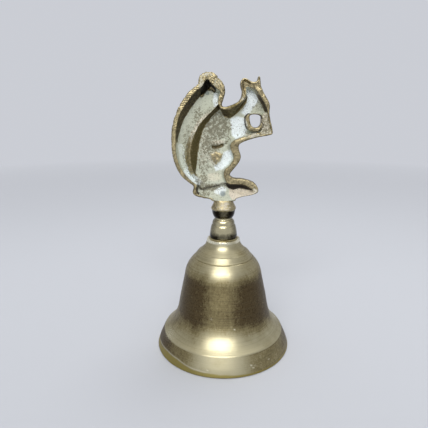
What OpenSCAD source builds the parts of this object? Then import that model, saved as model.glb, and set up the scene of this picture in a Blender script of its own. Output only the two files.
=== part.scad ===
// Table bell: a turned brass cup, a cast squirrel as its handle, and a clapper on a wire link.
// Frame: the origin is the centre of the lip plane and +Z runs up the axis of the bell.
// The squirrel looks along +X, its modelled side faces +Y and its hollow back faces -Y.

/* [Bell cup] */
// Radius of the lip
lip_r = 28.5; // [27:0.5:30]
// Height of the crown's flat top above the lip plane
crown_z = 47.4; // [47:0.1:48]
// Thickness of the turned wall
wall = 2.0; // [1.6:0.1:2.2]
// Thickness of the crown
crown_t = 2.2; // [1.8:0.1:2.6]
// Radius of the two turned lines near the crown
line_r = 0.35; // [0.2:0.05:0.5]

/* [Squirrel handle] */
// Y of the rim round the hollow back
rim_y = -3.2; // [-4:0.1:-2.5]
// Y of the flat ground behind the relief
ground_y = 1.6; // [1.2:0.1:2.2]
// Thickness of the casting behind the hollows
cast_t = 1.6; // [1.2:0.1:2]
// Width of the crest between the hollows of tail and body
crest_w = 1.4; // [1:0.1:1.8]
// Depth of that crest below the rim
crest_drop = 0.9; // [0.4:0.1:1.4]
// Clear radius of the gap between chin and forearm
chin_gap_r = 2.3; // [1.8:0.1:2.6]

/* [Fastening] */
// Radius of the threaded stud
stud_r = 2.0; // [1.8:0.1:2.2]
// Thickness of the washer between handle and crown
seat_t = 0.45; // [0.3:0.05:0.8]
// Thickness of the washer under the crown
washer_t = 0.8; // [0.5:0.1:1]
// Width across the flats of the clamp nut
nut_af = 7.0; // [6.5:0.1:7.5]
// Height of the clamp nut
nut_h = 3.0; // [2.4:0.1:3.4]

/* [Clapper] */
// Height of the upper pivot, the hole in the stud's tongue
upper_pivot_z = 37; // [36:0.5:37.5]
// Radius of the link's wire
wire_r = 0.7; // [0.6:0.05:0.8]
// Radius of each loop of the link, to the middle of the wire
loop_r = 2.4; // [2.3:0.05:2.6]
// Radius of the hole that a loop runs through
eye_r = 1.1; // [1.05:0.05:1.2]
// Thickness of the drilled tongue and of the drilled eye
tab_t = 1.6; // [1.2:0.1:1.8]
// Radius of the clapper rod
rod_r = 1.2; // [1:0.1:1.4]
// Radius of the clapper ball
ball_r = 5.0; // [4.5:0.1:5.2]
// Height of the ball's centre when it hangs still
ball_z = 8.5; // [8:0.1:9.5]

/* [Hidden] */
$fn = 64;

clearance = 0.1;                            // between the stud and what it passes through
seat_z = crown_z + seat_t;                  // plane where the handle's foot stands
crown_in_z = crown_z - crown_t;             // underside of the crown
washer_z = crown_in_z - washer_t;
nut_z = washer_z - nut_h;
lower_pivot_z = upper_pivot_z - 4 * loop_r; // hole in the clapper's eye
tab_r = 2.1;                                // outer radius of the tongue's end and of the eye
stud_bite = 6;                              // depth of the stud in the handle's foot
seat_washer_r = 5.9;
crown_washer_r = 4.8;
nut_chamfer = 0.25;
rod_bite = 0.4;                             // how far the rod runs into the eye's rim
far = 40;                                   // longer than anything it cuts

ridge_r = 25.4;                             // where the body's flare meets the lip band
ridge_z = 7.3;
lip_round = 0.5;
lip_land_z = 1.5;                           // inner wall starts above this height
crown_rim_r = 6.95;
nut_room_r = 5.2;                           // inner radius of the bell just under the crown
nut_room_z = 42.6;                          // height where that narrow part starts
line_heights = [42.0, 39.4];
line_out = 0.1;                             // middle of a turned line, outside the wall

// Body of the bell from the crown's edge down to the ridge, as radius and height.
body_line = [
    [crown_rim_r, crown_z], [7.3, 45.8], [7.7, 44.0], [9.7, 42.5], [11.8, 40.4], [13.8, 38.0],
    [15.6, 35.0], [16.5, 31.0], [17.4, 27.0], [18.25, 23.0], [19.0, 19.0], [19.8, 15.5],
    [20.8, 13.0], [22.1, 11.0], [23.7, 9.0], [ridge_r, ridge_z]];

// Lip band from the ridge down to the lip's rounded edge.
band_line = [[ridge_r, ridge_z], [26.9, 4.8], [27.9, 2.4], [lip_r, lip_round], [lip_r - lip_round, 0]];

// Handle's turned foot, waist, cone and collar, as radius and height.
foot_line = [
    [5.6, seat_z], [5.8, 49.0], [5.75, 50.2], [5.3, 51.8], [4.75, 53.1]];
waist_line = [
    [4.4, 53.5], [4.05, 54.6], [3.5, 56.1], [3.8, 57.6], [4.5, 59.2], [4.95, 60.3], [4.8, 61.6],
    [4.0, 62.9], [3.9, 64.0], [3.4, 65.5]];
stem_top_z = 65.5;

// Outline of the squirrel in the XZ plane, clockwise from the left end of its base.
outline = [
    [-3.9, 63.6], [-5.5, 64.4], [-8.5, 65.0], [-11.3, 65.8], [-12.5, 67.2], [-12.2, 69.6],
    [-14.0, 71.2], [-16.6, 73.5], [-18.8, 77.0], [-20.2, 82.0], [-20.6, 88.0], [-20.1, 93.4],
    [-18.3, 98.8], [-15.9, 103.0], [-13.0, 106.5], [-10.4, 108.5], [-9.3, 111.6], [-6.5, 113.5],
    [-3.6, 112.5], [-1.2, 110.2], [0.3, 106.8], [-0.3, 103.4], [-0.9, 101.0], [0.6, 100.5],
    [3.5, 101.5], [5.8, 102.9], [6.8, 105.8], [6.1, 108.6], [6.9, 110.7], [8.8, 110.7],
    [11.0, 110.0], [12.9, 111.0], [13.9, 107.8], [16.1, 104.2], [17.4, 101.0], [17.4, 97.5],
    [18.5, 92.9], [18.8, 90.4], [17.0, 89.6], [13.8, 89.1], [9.0, 87.8], [6.1, 86.4],
    [5.8, 84.5], [6.6, 81.5], [5.8, 79.0], [3.5, 76.2], [2.3, 74.2], [3.7, 73.1],
    [7.8, 72.6], [11.5, 71.4], [13.6, 69.2], [13.6, 67.2], [11.4, 66.2], [7.9, 65.5],
    [5.0, 64.6], [3.9, 63.6]];

// Edges of the hollow back in the XZ plane. The tail's rim runs from the heel up round the tip
// and down to the nape, the body's rim from the nape round the face, paws and belly to the heel.
tail_rim = [
    [-11.9, 71.2], [-14.0, 72.9], [-16.1, 75.6], [-17.7, 78.8], [-18.6, 83.0], [-18.8, 87.0],
    [-18.3, 92.2], [-17.2, 96.6], [-15.2, 100.8], [-12.4, 104.2], [-9.6, 106.8], [-8.0, 109.2],
    [-6.5, 110.3], [-5.0, 109.0], [-2.8, 107.2], [-1.9, 105.4], [-2.3, 103.2], [-2.6, 101.2]];
body_rim = [
    [-1.2, 99.3], [1.0, 98.9], [3.8, 99.6], [6.2, 101.2], [8.0, 103.2], [8.6, 105.4], [9.4, 107.0],
    [11.4, 106.0], [13.2, 103.8], [14.8, 101.2], [15.8, 98.8], [16.0, 96.2], [16.8, 93.4],
    [16.8, 91.8], [14.4, 90.9], [11.2, 90.1], [8.4, 89.1], [5.6, 88.2], [3.8, 87.0], [3.2, 85.2],
    [3.8, 83.0], [4.2, 81.2], [3.6, 79.2], [2.0, 77.4], [0.4, 75.6], [-0.2, 73.4], [-1.4, 71.8],
    [-4.4, 71.2], [-7.4, 70.8], [-9.8, 70.9]];
// Middle line of the crest that parts the hollow of the tail from the hollow of the body.
crest = [
    [-11.0, 71.6], [-12.4, 76.6], [-13.0, 81.6], [-12.6, 85.2], [-11.6, 88.6], [-9.8, 92.6],
    [-7.4, 95.6], [-5.0, 97.8], [-2.0, 100.2]];
foot_rim = [
    [1.6, 70.5], [5.2, 70.8], [8.2, 70.4], [10.4, 69.4], [11.8, 68.2], [10.8, 67.4], [7.6, 66.8],
    [4.0, 66.4], [-4.6, 66.4], [-8.4, 66.8], [-10.0, 67.6], [-8.6, 68.8], [-5.0, 69.2],
    [-1.6, 69.6]];

chin_gap = [11.6, 95.0];                    // centre of the gap under the chin
gap_wall = 1.5;                             // raised wall left round that gap
gap_wall_drop = 0.4;                        // depth of that wall's edge below the rim

// Relief of the modelled side. Domes are [x, z, radius of the sphere, y of its top].
domes = [
    [-3.2, 77.5, 12, 5.0],                  // haunch
    [-3.0, 86.0, 12, 4.3],                  // back
    [1.0, 93.0, 10, 4.4],                   // shoulder
    [5.5, 97.0, 8, 3.9],                    // neck
    [11.2, 102.6, 8, 4.7],                  // head
    [8.2, 108.8, 3.2, 3.2]];                // ear
// Rolls are capsules, [x, z, x, z, radius, y of the middle line].
rolls = [
    [2.6, 90.6, 13.6, 90.9, 2.2, 2.4],      // forearm
    [1.0, 68.4, 11.0, 69.0, 2.3, 2.2],      // foot
    [-12.3, 96.6, -4.6, 107.6, 4.2, 0.6]];  // upper tail
nut_spot = [15.8, 94.6];
nut_ball_r = 3.2;
eye_spot = [12.6, 103.8];
eye_ball_r = 0.9;
eye_y = 4.2;
thin = 1;                                   // a form left this thin by the inset stays solid
tail_bend = [1.5, 85.0, 18.0];              // x, z and radius of the lower tail's middle line
tail_roll_r = 4.3;
tail_roll_y = 0.6;
tail_from = 135;                            // the bend's two ends, turned from +X towards +Z
tail_to = 245;

// One point of a Catmull-Rom curve between b and c, with the neighbours a and d.
function curve_point(a, b, c, d, t) =
    0.5 * (2 * b + t * (c - a) + t * t * (2 * a - 5 * b + 4 * c - d)
           + t * t * t * (3 * b - a - 3 * c + d));

// Smooth closed outline through the given points.
function closed_curve(p, steps) =
    let (n = len(p))
    [for (i = [0:n - 1]) for (s = [0:steps - 1])
        curve_point(p[(i + n - 1) % n], p[i], p[(i + 1) % n], p[(i + 2) % n], s / steps)];

// Smooth open line through the given points, both ends included.
function open_curve(p, steps) =
    let (n = len(p))
    concat(
        [for (i = [0:n - 2]) for (s = [0:steps - 1])
            curve_point(p[max(i - 1, 0)], p[i], p[i + 1], p[min(i + 2, n - 1)], s / steps)],
        [p[n - 1]]);

// Line moved to its inner side by d, for a turned profile that runs downwards.
function inner_line(p, d) =
    [for (i = [0:len(p) - 1])
        let (step = p[min(i + 1, len(p) - 1)] - p[max(i - 1, 0)], n = [step[1], -step[0]] / norm(step))
        p[i] + d * n];

function backwards(p) = [for (i = [len(p) - 1:-1:0]) p[i]];

// The hollows meet the crest on its two sides.
tail_hollow = concat(tail_rim, backwards(inner_line(crest, -crest_w / 2)));
body_hollow = concat(inner_line(crest, crest_w / 2), body_rim);

// Radius of a turned line at a height.
function radius_at(p, z) = lookup(z, [for (q = p) [q[1], q[0]]]);

body_curve = open_curve(body_line, 3);
band_curve = open_curve(band_line, 3);
cup_outer = concat(body_curve, [for (i = [1:len(band_curve) - 1]) band_curve[i]]);
cup_inner = [for (q = inner_line(cup_outer, wall))
    if (q[0] > nut_room_r && q[0] < lip_r - wall && q[1] > lip_land_z && q[1] < nut_room_z) q];

// Plate in the XZ plane between two values of y.
module plate(points, y0, y1) {
    translate([0, y1, 0])
        rotate([90, 0, 0])
            linear_extrude(height = y1 - y0)
                polygon(points);
}

module rod_along_z(r, z0, z1) {
    translate([0, 0, z0])
        cylinder(r = r, h = z1 - z0);
}

// Round disc with its axis along X or Y and its middle at height z.
module disc(axis, r, t, z) {
    translate([0, 0, z])
        rotate(axis == "x" ? [0, 90, 0] : [90, 0, 0])
            cylinder(r = r, h = t, center = true);
}

module dome(d, inset) {
    translate([d[0], d[3] - d[2], d[1]])
        sphere(r = d[2] - inset);
}

module roll(d, inset) {
    run = norm([d[2] - d[0], d[3] - d[1]]);
    tilt = atan2(d[2] - d[0], d[3] - d[1]);
    translate([d[0], d[5], d[1]])
        rotate([0, tilt, 0]) {
            cylinder(r = d[4] - inset, h = run);
            sphere(r = d[4] - inset);
            translate([0, 0, run])
                sphere(r = d[4] - inset);
        }
}

// Everything that stands out of the ground on the modelled side, or its core when inset.
module relief(inset = 0) {
    for (d = domes)
        dome(d, inset);
    for (d = rolls)
        if (d[4] > inset + thin)
            roll(d, inset);
    translate([tail_bend[0], tail_roll_y, tail_bend[1]])
        rotate([90, 0, 0])
            rotate([0, 0, tail_from])
                rotate_extrude(angle = tail_to - tail_from)
                    translate([tail_bend[2], 0])
                        circle(r = tail_roll_r - inset);
}

module squirrel() {
    shape = closed_curve(outline, 2);
    difference() {
        union() {
            plate(shape, rim_y, ground_y);
            intersection() {
                plate(shape, rim_y, far / 4);
                relief();
            }
        }
        for (hollow = [tail_hollow, body_hollow, foot_rim]) {
            plate(closed_curve(hollow, 2), rim_y - 1, ground_y - cast_t);
            intersection() {
                plate(closed_curve(hollow, 2), rim_y - 1, far / 4);
                relief(cast_t);
            }
        }
        plate(closed_curve(concat(tail_rim, body_rim), 2), rim_y - 1, rim_y + crest_drop);
    }
}

module squirrel_handle() {
    color("darkgoldenrod")
        difference() {
            union() {
                squirrel();
                rotate_extrude()
                    polygon(concat([[0, seat_z]], open_curve(foot_line, 3), open_curve(waist_line, 3),
                                   [[0, stem_top_z]]));
                translate([chin_gap[0], ground_y, chin_gap[1]])
                    rotate([90, 0, 0])
                        cylinder(r = chin_gap_r + gap_wall, h = ground_y - rim_y - gap_wall_drop);
                translate([nut_spot[0], ground_y, nut_spot[1]])
                    sphere(r = nut_ball_r);
                translate([eye_spot[0], eye_y, eye_spot[1]])
                    sphere(r = eye_ball_r);
            }
            rod_along_z(stud_r, seat_z - 1, seat_z + stud_bite);
            translate([chin_gap[0], 0, chin_gap[1]])
                rotate([90, 0, 0])
                    cylinder(r = chin_gap_r, h = far, center = true);
        }
}

module seat_washer() {
    color("khaki")
        difference() {
            rod_along_z(seat_washer_r, crown_z, seat_z);
            rod_along_z(stud_r + clearance, crown_z - 1, seat_z + 1);
        }
}

module bell_cup() {
    color("goldenrod")
        difference() {
            rotate_extrude()
                polygon(concat(
                    cup_outer,
                    [[lip_r - wall, 0]],
                    backwards(cup_inner),
                    [[nut_room_r, nut_room_z], [nut_room_r, crown_in_z],
                     [stud_r + clearance, crown_in_z], [stud_r + clearance, crown_z]]));
            for (z = line_heights)
                rotate_extrude()
                    translate([radius_at(body_line, z) + line_out, z])
                        circle(r = line_r, $fn = 24);
        }
}

module hanger_stud() {
    color("peru")
        difference() {
            union() {
                rod_along_z(stud_r, upper_pivot_z + tab_r + 1, seat_z + stud_bite);
                intersection() {
                    rod_along_z(stud_r, upper_pivot_z - tab_r, upper_pivot_z + tab_r + 1);
                    union() {
                        disc("y", tab_r, tab_t, upper_pivot_z);
                        translate([-stud_r, -tab_t / 2, upper_pivot_z])
                            cube([2 * stud_r, tab_t, tab_r + 1]);
                    }
                }
            }
            disc("y", eye_r, far, upper_pivot_z);
        }
}

module crown_washer() {
    color("khaki")
        difference() {
            rod_along_z(crown_washer_r, washer_z, crown_in_z);
            rod_along_z(stud_r + clearance, washer_z - 1, crown_in_z + 1);
        }
}

module clamp_nut() {
    color("goldenrod")
        difference() {
            intersection() {
                translate([0, 0, nut_z])
                    cylinder(d = nut_af / cos(30), h = nut_h, $fn = 6);
                translate([0, 0, nut_z + nut_h / 2])
                    sphere(r = nut_af / cos(30) / 2 + nut_chamfer);
            }
            rod_along_z(stud_r, nut_z - 1, washer_z + 1);
        }
}

// Ring of wire in the XZ plane, or in the YZ plane when it is turned.
module wire_loop(z, turn) {
    translate([0, 0, z])
        rotate([90, 0, turn])
            rotate_extrude()
                translate([loop_r, 0])
                    circle(r = wire_r, $fn = 32);
}

module hanger_link() {
    color("gainsboro") {
        wire_loop(upper_pivot_z - loop_r, 90);
        wire_loop(lower_pivot_z + loop_r, 0);
    }
}

module clapper_rod() {
    color("peru")
        difference() {
            union() {
                disc("x", tab_r, tab_t, lower_pivot_z);
                rod_along_z(rod_r, ball_z, lower_pivot_z - eye_r - rod_bite);
            }
            disc("x", eye_r, far, lower_pivot_z);
        }
}

module clapper_ball() {
    color("goldenrod")
        difference() {
            translate([0, 0, ball_z])
                sphere(r = ball_r);
            rod_along_z(rod_r, ball_z, ball_z + ball_r + 1);
        }
}

squirrel_handle();
seat_washer();
bell_cup();
hanger_stud();
crown_washer();
clamp_nut();
hanger_link();
clapper_rod();
clapper_ball();
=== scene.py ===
import math
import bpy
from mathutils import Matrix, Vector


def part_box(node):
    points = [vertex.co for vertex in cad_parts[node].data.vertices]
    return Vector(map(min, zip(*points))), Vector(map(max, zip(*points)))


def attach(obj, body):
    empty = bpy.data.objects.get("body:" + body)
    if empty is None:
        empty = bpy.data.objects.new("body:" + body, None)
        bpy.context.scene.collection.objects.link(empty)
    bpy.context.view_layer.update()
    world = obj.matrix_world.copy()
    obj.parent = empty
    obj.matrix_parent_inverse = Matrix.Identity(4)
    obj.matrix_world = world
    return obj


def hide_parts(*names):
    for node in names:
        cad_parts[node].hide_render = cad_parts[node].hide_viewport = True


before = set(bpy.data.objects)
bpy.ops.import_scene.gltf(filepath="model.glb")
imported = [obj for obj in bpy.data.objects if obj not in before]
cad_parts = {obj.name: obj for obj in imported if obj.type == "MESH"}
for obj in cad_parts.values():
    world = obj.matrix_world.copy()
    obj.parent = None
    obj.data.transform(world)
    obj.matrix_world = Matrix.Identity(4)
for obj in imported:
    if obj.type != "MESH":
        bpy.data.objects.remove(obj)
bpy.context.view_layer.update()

from types import SimpleNamespace

import bpy
import numpy as np
from bpy.props import FloatProperty, FloatVectorProperty, IntProperty, PointerProperty
from bpy.types import Operator, Panel, PropertyGroup
from mathutils import Vector

bl_info = {
    "name": "Squirrel Table Bell",
    "version": (1, 0, 0),
    "blender": (4, 5, 0),
    "location": "3D View > Sidebar > Squirrel Bell",
    "description": "Builds a turned brass table bell with a cast squirrel as its handle",
    "category": "Object",
}

MM = 0.001                       # shapes are worked out in millimetres and built in metres
NO_FLATS = 100.0                 # width across flats that no piece reaches, so that it stays round
STUD_BORE = 2.1                  # radius of the holes that the stud passes through


def box_mm(node):
    """Lowest and highest corner of a frame node, in millimetres."""
    low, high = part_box(node)
    return np.array(low) / MM, np.array(high) / MM


# ---------------------------------------------------------------- settings

def size_mm(name, text, value, low, high):
    """A length setting in millimetres."""
    return FloatProperty(name=name, description=text, default=value, min=low, max=high, precision=2)


def colour(name, text, value):
    """A colour setting."""
    return FloatVectorProperty(
        name=name, description=text, default=value, min=0.0, max=1.0, size=3, subtype="COLOR")


class CastingSettings(PropertyGroup):
    """Sizes and colours of the squirrel casting."""
    grain: size_mm("Sculpting step", "Spacing of the sculpting grid, in mm", 0.2, 0.15, 1.0)
    kept_faces: FloatProperty(
        name="Kept faces", description="Share of the sculpted faces that is kept", subtype="FACTOR",
        default=0.5, min=0.1, max=1.0)
    rim_y: size_mm("Rim", "Y of the rim round the hollow back, in mm", -3.2, -4.0, -2.5)
    hollow_depth: size_mm("Hollow depth", "Depth of the hollows below the rim, in mm", 4.0, 1.0, 5.0)
    fur_depth: size_mm("Fur depth", "Depth of the fur strokes, in mm", 0.28, 0.0, 0.6)
    brass: colour("Brass", "Bare cast brass on the rim", (0.56, 0.47, 0.27))
    # Tarnish is the brown of the corners and also the colour of painted shade under the rims and on slopes
    # that face right or down.
    tarnish_and_shade: colour("Tarnish", "Dark brown tarnish in the corners", (0.045, 0.030, 0.015))
    residue: colour("Residue", "Dried polish in the hollows", (0.57, 0.59, 0.47))


class CupSettings(PropertyGroup):
    """Sizes and colours of the turned cup."""
    segments: IntProperty(name="Segments", description="Facets round the axis", default=240, min=32, max=512)
    wall: size_mm("Wall", "Thickness of the turned wall, in mm", 2.0, 1.0, 3.0)
    line_depth: size_mm("Turned lines", "Depth of the two turned lines, in mm", 0.3, 0.0, 0.5)
    brass: colour("Brass", "Satin turned brass", (0.50, 0.455, 0.298))
    # Olive and tarnish colour the bloom: patina, and also painted dark reflection on the sides of the waist,
    # the shoulder and the lip band.
    olive: colour("Olive", "Thin olive bloom on the turned brass", (0.30, 0.25, 0.125))
    tarnish_and_shade: colour("Tarnish", "Brown bloom on the turned brass", (0.11, 0.078, 0.038))
    # The lip colour fills the yellow zone at the lip, which is partly a painted reflection, and a darker
    # share of it colours the inside of the cup.
    lip: colour("Lip", "Yellow brass at the lip", (0.33, 0.27, 0.085))


class FasteningSettings(PropertyGroup):
    """Sizes and colours of the steel pieces."""
    pitch: size_mm("Thread pitch", "Pitch of the stud's thread, in mm", 0.7, 0.4, 1.2)
    thread_depth: size_mm("Thread depth", "Depth of the stud's thread, in mm", 0.25, 0.0, 0.4)
    steel: colour("Steel", "Plated steel", (0.55, 0.54, 0.52))


class StageSettings(PropertyGroup):
    """Floor, backdrop, lamps and camera."""
    floor: colour("Floor", "Colour of the floor", (0.535, 0.552, 0.592))
    backdrop: colour("Backdrop", "Colour that the floor turns to in the distance", (0.595, 0.612, 0.66))
    camera_place: FloatVectorProperty(
        name="Camera", description="Place of the camera, in metres", size=3, subtype="TRANSLATION",
        default=(-0.00394, -0.16073, 0.09789))
    camera_tilt: FloatProperty(
        name="Camera tilt", description="How far the camera looks below the horizon", subtype="ANGLE",
        default=math.radians(14.07))
    lens: FloatProperty(name="Lens", description="Focal length, in mm on a 36 mm sensor", default=33.64)


class BellSettings(PropertyGroup):
    """All settings of the bell."""
    casting: PointerProperty(type=CastingSettings)
    cup: PointerProperty(type=CupSettings)
    fastening: PointerProperty(type=FasteningSettings)
    stage: PointerProperty(type=StageSettings)


# ---------------------------------------------------------------- curves and fields

def smooth_max(a, b, k):
    """The greater of two fields, rounded over a width of k where they meet."""
    h = np.maximum(k - np.abs(a - b), 0) / k
    return np.maximum(a, b) + h * h * k / 4


def smooth_min(a, b, k):
    """The lesser of two fields, rounded over a width of k where they meet."""
    return -smooth_max(-a, -b, k)


def most(*fields):
    """The greatest of several fields."""
    return np.maximum.reduce(fields)


def mix(a, b, share):
    """Field a where the share is 0 and b where it is 1."""
    return a + (b - a) * share


def ramp(value, low, high):
    """0 below low, 1 above high, with a soft step between."""
    t = np.clip((value - low) / (high - low), 0, 1)
    return t * t * (3 - 2 * t)


def fade(value, low, high):
    """1 below low, 0 above high, with a soft step between."""
    return 1 - ramp(value, low, high)


def gate(value, low, high, soft):
    """1 between low and high, with soft ends."""
    return ramp(value, low - soft, low + soft) * fade(value, high - soft, high + soft)


def dome(out):
    """Height of a half-round form at a share of its radius, falling away outside it."""
    return np.where(out < 1, np.sqrt(np.maximum(1 - out * out, 0)), 1 - out)


def curve_through(points, steps=6, closed=True):
    """Catmull-Rom curve through the points."""
    p = np.array(points, float)
    ends = (p[-1:], p[:2]) if closed else (p[:1], p[[-1, -1]])
    q = np.vstack([ends[0], p, ends[1]])
    a, b, c, d = (q[i:len(p) + i, None, :] for i in range(4))
    t = (np.arange(steps) / steps)[None, :, None]
    line = 0.5 * (2 * b + t * (c - a) + t**2 * (2 * a - 5 * b + 4 * c - d) + t**3 * (3 * b - a - 3 * c + d))
    line = line.reshape(-1, 2)
    return line if closed else np.vstack([line[: (len(p) - 1) * steps], p[-1:]])


def line_distance(line, x, z):
    """Distance to a line, how far along it the nearest point is, and the side (1 left, -1 right)."""
    best = np.full(x.shape, 1e9)
    along = np.zeros(x.shape)
    side = np.ones(x.shape)
    start = 0.0
    for (ax, az), (bx, bz) in zip(line[:-1], line[1:]):
        ex, ez = bx - ax, bz - az
        length = math.hypot(ex, ez)
        t = np.clip(((x - ax) * ex + (z - az) * ez) / length**2, 0, 1)
        gap = (x - ax - t * ex) ** 2 + (z - az - t * ez) ** 2
        nearer = gap < best
        best = np.where(nearer, gap, best)
        along = np.where(nearer, start + t * length, along)
        side = np.where(nearer, np.sign(ex * (z - az) - ez * (x - ax)), side)
        start += length
    return np.sqrt(best), along, side


def outline_distance(outline, x, z):
    """Signed distance to a closed outline, negative inside."""
    best = np.full(x.shape, 1e9)
    inside = np.zeros(x.shape, bool)
    for (ax, az), (bx, bz) in zip(outline, np.roll(outline, -1, 0)):
        ex, ez = bx - ax, bz - az
        t = np.clip(((x - ax) * ex + (z - az) * ez) / (ex**2 + ez**2), 0, 1)
        best = np.minimum(best, (x - ax - t * ex) ** 2 + (z - az - t * ez) ** 2)
        if az != bz:
            inside ^= ((az > z) != (bz > z)) & (x < ex * (z - az) / ez + ax)
    return np.where(inside, -1, 1) * np.sqrt(best)


def cover(outline, x, z, soft):
    """1 inside an outline and 0 outside, with a soft edge."""
    return ramp(-outline_distance(outline, x, z), -soft, soft)


def patches(spots, x, z):
    """Strength of a list of soft oval patches."""
    total = np.zeros(x.shape)
    for px, pz, half_x, half_z, strength in spots:
        reach = ((x - px) / half_x) ** 2 + ((z - pz) / half_z) ** 2
        total = np.maximum(total, strength * fade(reach, 0.3, 2.2))
    return total


def value_noise(points, size, seed):
    """Smooth noise from -1 to 1 at points of any dimension, with lumps of the given size."""
    repeat = 32                  # lumps after which the noise starts again
    p = np.asarray(points, float) / size
    dims = p.shape[-1]
    cell = np.floor(p).astype(int)
    part = p - cell
    part = part * part * (3 - 2 * part)
    table = np.random.default_rng(seed).uniform(-1, 1, (repeat,) * dims)
    total = np.zeros(p.shape[:-1])
    for corner in np.ndindex(*(2,) * dims):
        weight = np.ones(p.shape[:-1])
        for axis, bit in enumerate(corner):
            weight = weight * (part[..., axis] if bit else 1 - part[..., axis])
        index = np.moveaxis((cell + corner) % repeat, -1, 0)
        total += weight * table[tuple(index)]
    return total


def rough(points, size, seed, octaves=3):
    """Noise with finer and fainter noise on top."""
    return sum(value_noise(points, size / 2**k, seed + k) / 2**k for k in range(octaves)) / 1.6


def softened(field, reach):
    """The field averaged over a square of the given reach, in cells."""
    for axis in (0, 1):
        total = sum(np.roll(field, shift, axis) for shift in range(-reach, reach + 1))
        field = total / (2 * reach + 1)
    return field


def sample(field, x_axis, z_axis, x, z):
    """A flat field read at scattered points."""
    u = np.clip((x - x_axis[0]) / (x_axis[1] - x_axis[0]), 0, len(x_axis) - 1.001)
    w = np.clip((z - z_axis[0]) / (z_axis[1] - z_axis[0]), 0, len(z_axis) - 1.001)
    i, k = u.astype(int), w.astype(int)
    u, w = u - i, w - k
    return ((field[i, k] * (1 - u) + field[i + 1, k] * u) * (1 - w)
            + (field[i, k + 1] * (1 - u) + field[i + 1, k + 1] * u) * w)


# ---------------------------------------------------------------- meshes

def settled(field):
    """The field with cells filled in wherever inside corners of a face touch only diagonally.

    Without this, the surface would have edges that four faces share.
    """
    field = field.copy()
    for _ in range(4):
        changed = 0
        for first, second in ((0, 1), (0, 2), (1, 2)):
            corner = []
            for bits in ((0, 0), (1, 0), (1, 1), (0, 1)):
                part = [slice(None)] * 3
                part[first] = slice(1, None) if bits[0] else slice(None, -1)
                part[second] = slice(1, None) if bits[1] else slice(None, -1)
                corner.append(tuple(part))
            a, b, c, d = (field[part] < 0 for part in corner)
            for crossed, fill in ((a & c & ~b & ~d, corner[1]), (~a & ~c & b & d, corner[0])):
                changed += int(crossed.sum())
                field[fill] = np.where(crossed, -0.02, field[fill])
        if not changed:
            break
    return field


def surface_of(field, origin, step):
    """Vertices and quads of the surface where a sampled field is zero, negative inside."""
    field = settled(field)
    inside = field < 0
    cells = np.array(field.shape) - 1
    sums = np.zeros((int(np.prod(cells)), 3))
    counts = np.zeros(len(sums))
    strides = np.array([cells[1] * cells[2], cells[2], 1])
    crossings = []
    for axis in range(3):
        ahead = [slice(None)] * 3
        here = [slice(None)] * 3
        ahead[axis], here[axis] = slice(1, None), slice(None, -1)
        ahead, here = tuple(ahead), tuple(here)
        change = inside[here] != inside[ahead]
        index = np.argwhere(change)
        low, high = field[here][change], field[ahead][change]
        place = index.astype(float)
        place[:, axis] += low / (low - high)
        others = [a for a in range(3) if a != axis]
        ring = []
        for du, dv in ((1, 1), (0, 1), (0, 0), (1, 0)):
            cell = index.copy()
            cell[:, others] -= (du, dv)
            ring.append(cell @ strides)
        ring = np.stack(ring, 1)
        for corner in ring.T:
            counts += np.bincount(corner, minlength=len(counts))
            for k in range(3):
                sums[:, k] += np.bincount(corner, place[:, k], minlength=len(counts))
        flip = inside[here][change] != (axis == 1)
        ring[~flip] = ring[~flip][:, ::-1]
        crossings.append(ring)
    used = counts > 0
    number = np.cumsum(used) - 1
    vertices = np.array(origin) + step * sums[used] / counts[used][:, None]
    return vertices, number[np.vstack(crossings)]


def new_object(name, data):
    """New object in the scene."""
    made = bpy.data.objects.new(name, data)
    bpy.context.scene.collection.objects.link(made)
    return made


def mesh_object(name, vertices, faces, material=None, edges=()):
    """New smooth mesh object from vertices in millimetres."""
    mesh = bpy.data.meshes.new(name)
    faces = faces.tolist() if isinstance(faces, np.ndarray) else faces
    mesh.from_pydata((np.asarray(vertices) * MM).tolist(), list(edges), faces)
    mesh.update()
    mesh.shade_smooth()
    if material:
        mesh.materials.append(material)
    return new_object(name, mesh)


def bake_modifiers(piece):
    """Turns a piece into the plain mesh that its modifiers make."""
    evaluated = piece.evaluated_get(bpy.context.evaluated_depsgraph_get())
    mesh = bpy.data.meshes.new_from_object(evaluated)
    piece.modifiers.clear()
    before, piece.data = piece.data, mesh
    bpy.data.meshes.remove(before)
    mesh.name = piece.name
    mesh.shade_smooth()


def vertices_mm(piece):
    """Vertices of a mesh object in millimetres."""
    flat = np.empty(len(piece.data.vertices) * 3)
    piece.data.vertices.foreach_get("co", flat)
    return flat.reshape(-1, 3) / MM


def add_masks(piece, masks):
    """Stores each mask as an attribute with one number for each vertex."""
    for name, values in masks.items():
        layer = piece.data.attributes.new(name, "FLOAT", "POINT")
        layer.data.foreach_set("value", np.ascontiguousarray(values, np.float32))


def place(piece, body, node, slot):
    """Puts a finished piece on its body in place of a frame node."""
    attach(piece, body)
    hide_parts(node)


# ---------------------------------------------------------------- node trees

def maths(operation, swapped=False):
    """A method that adds a Math node."""
    def method(self, other=0.0):
        first, second = (other, self) if swapped else (self, other)
        return wire(self.tree, "ShaderNodeMath", {0: first, 1: second}, operation=operation)
    return method


class Wired:
    """An output in a node tree. Arithmetic with it adds Math nodes."""

    def __init__(self, tree, socket):
        self.tree = tree
        self.socket = socket

    __add__ = maths("ADD")
    __sub__ = maths("SUBTRACT")
    __rsub__ = maths("SUBTRACT", swapped=True)
    __mul__ = maths("MULTIPLY")
    __truediv__ = maths("DIVIDE")
    __mod__ = maths("MODULO")
    floor = maths("FLOOR")
    sine = maths("SINE")
    cosine = maths("COSINE")
    lesser = maths("MINIMUM")
    greater = maths("MAXIMUM")


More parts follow.
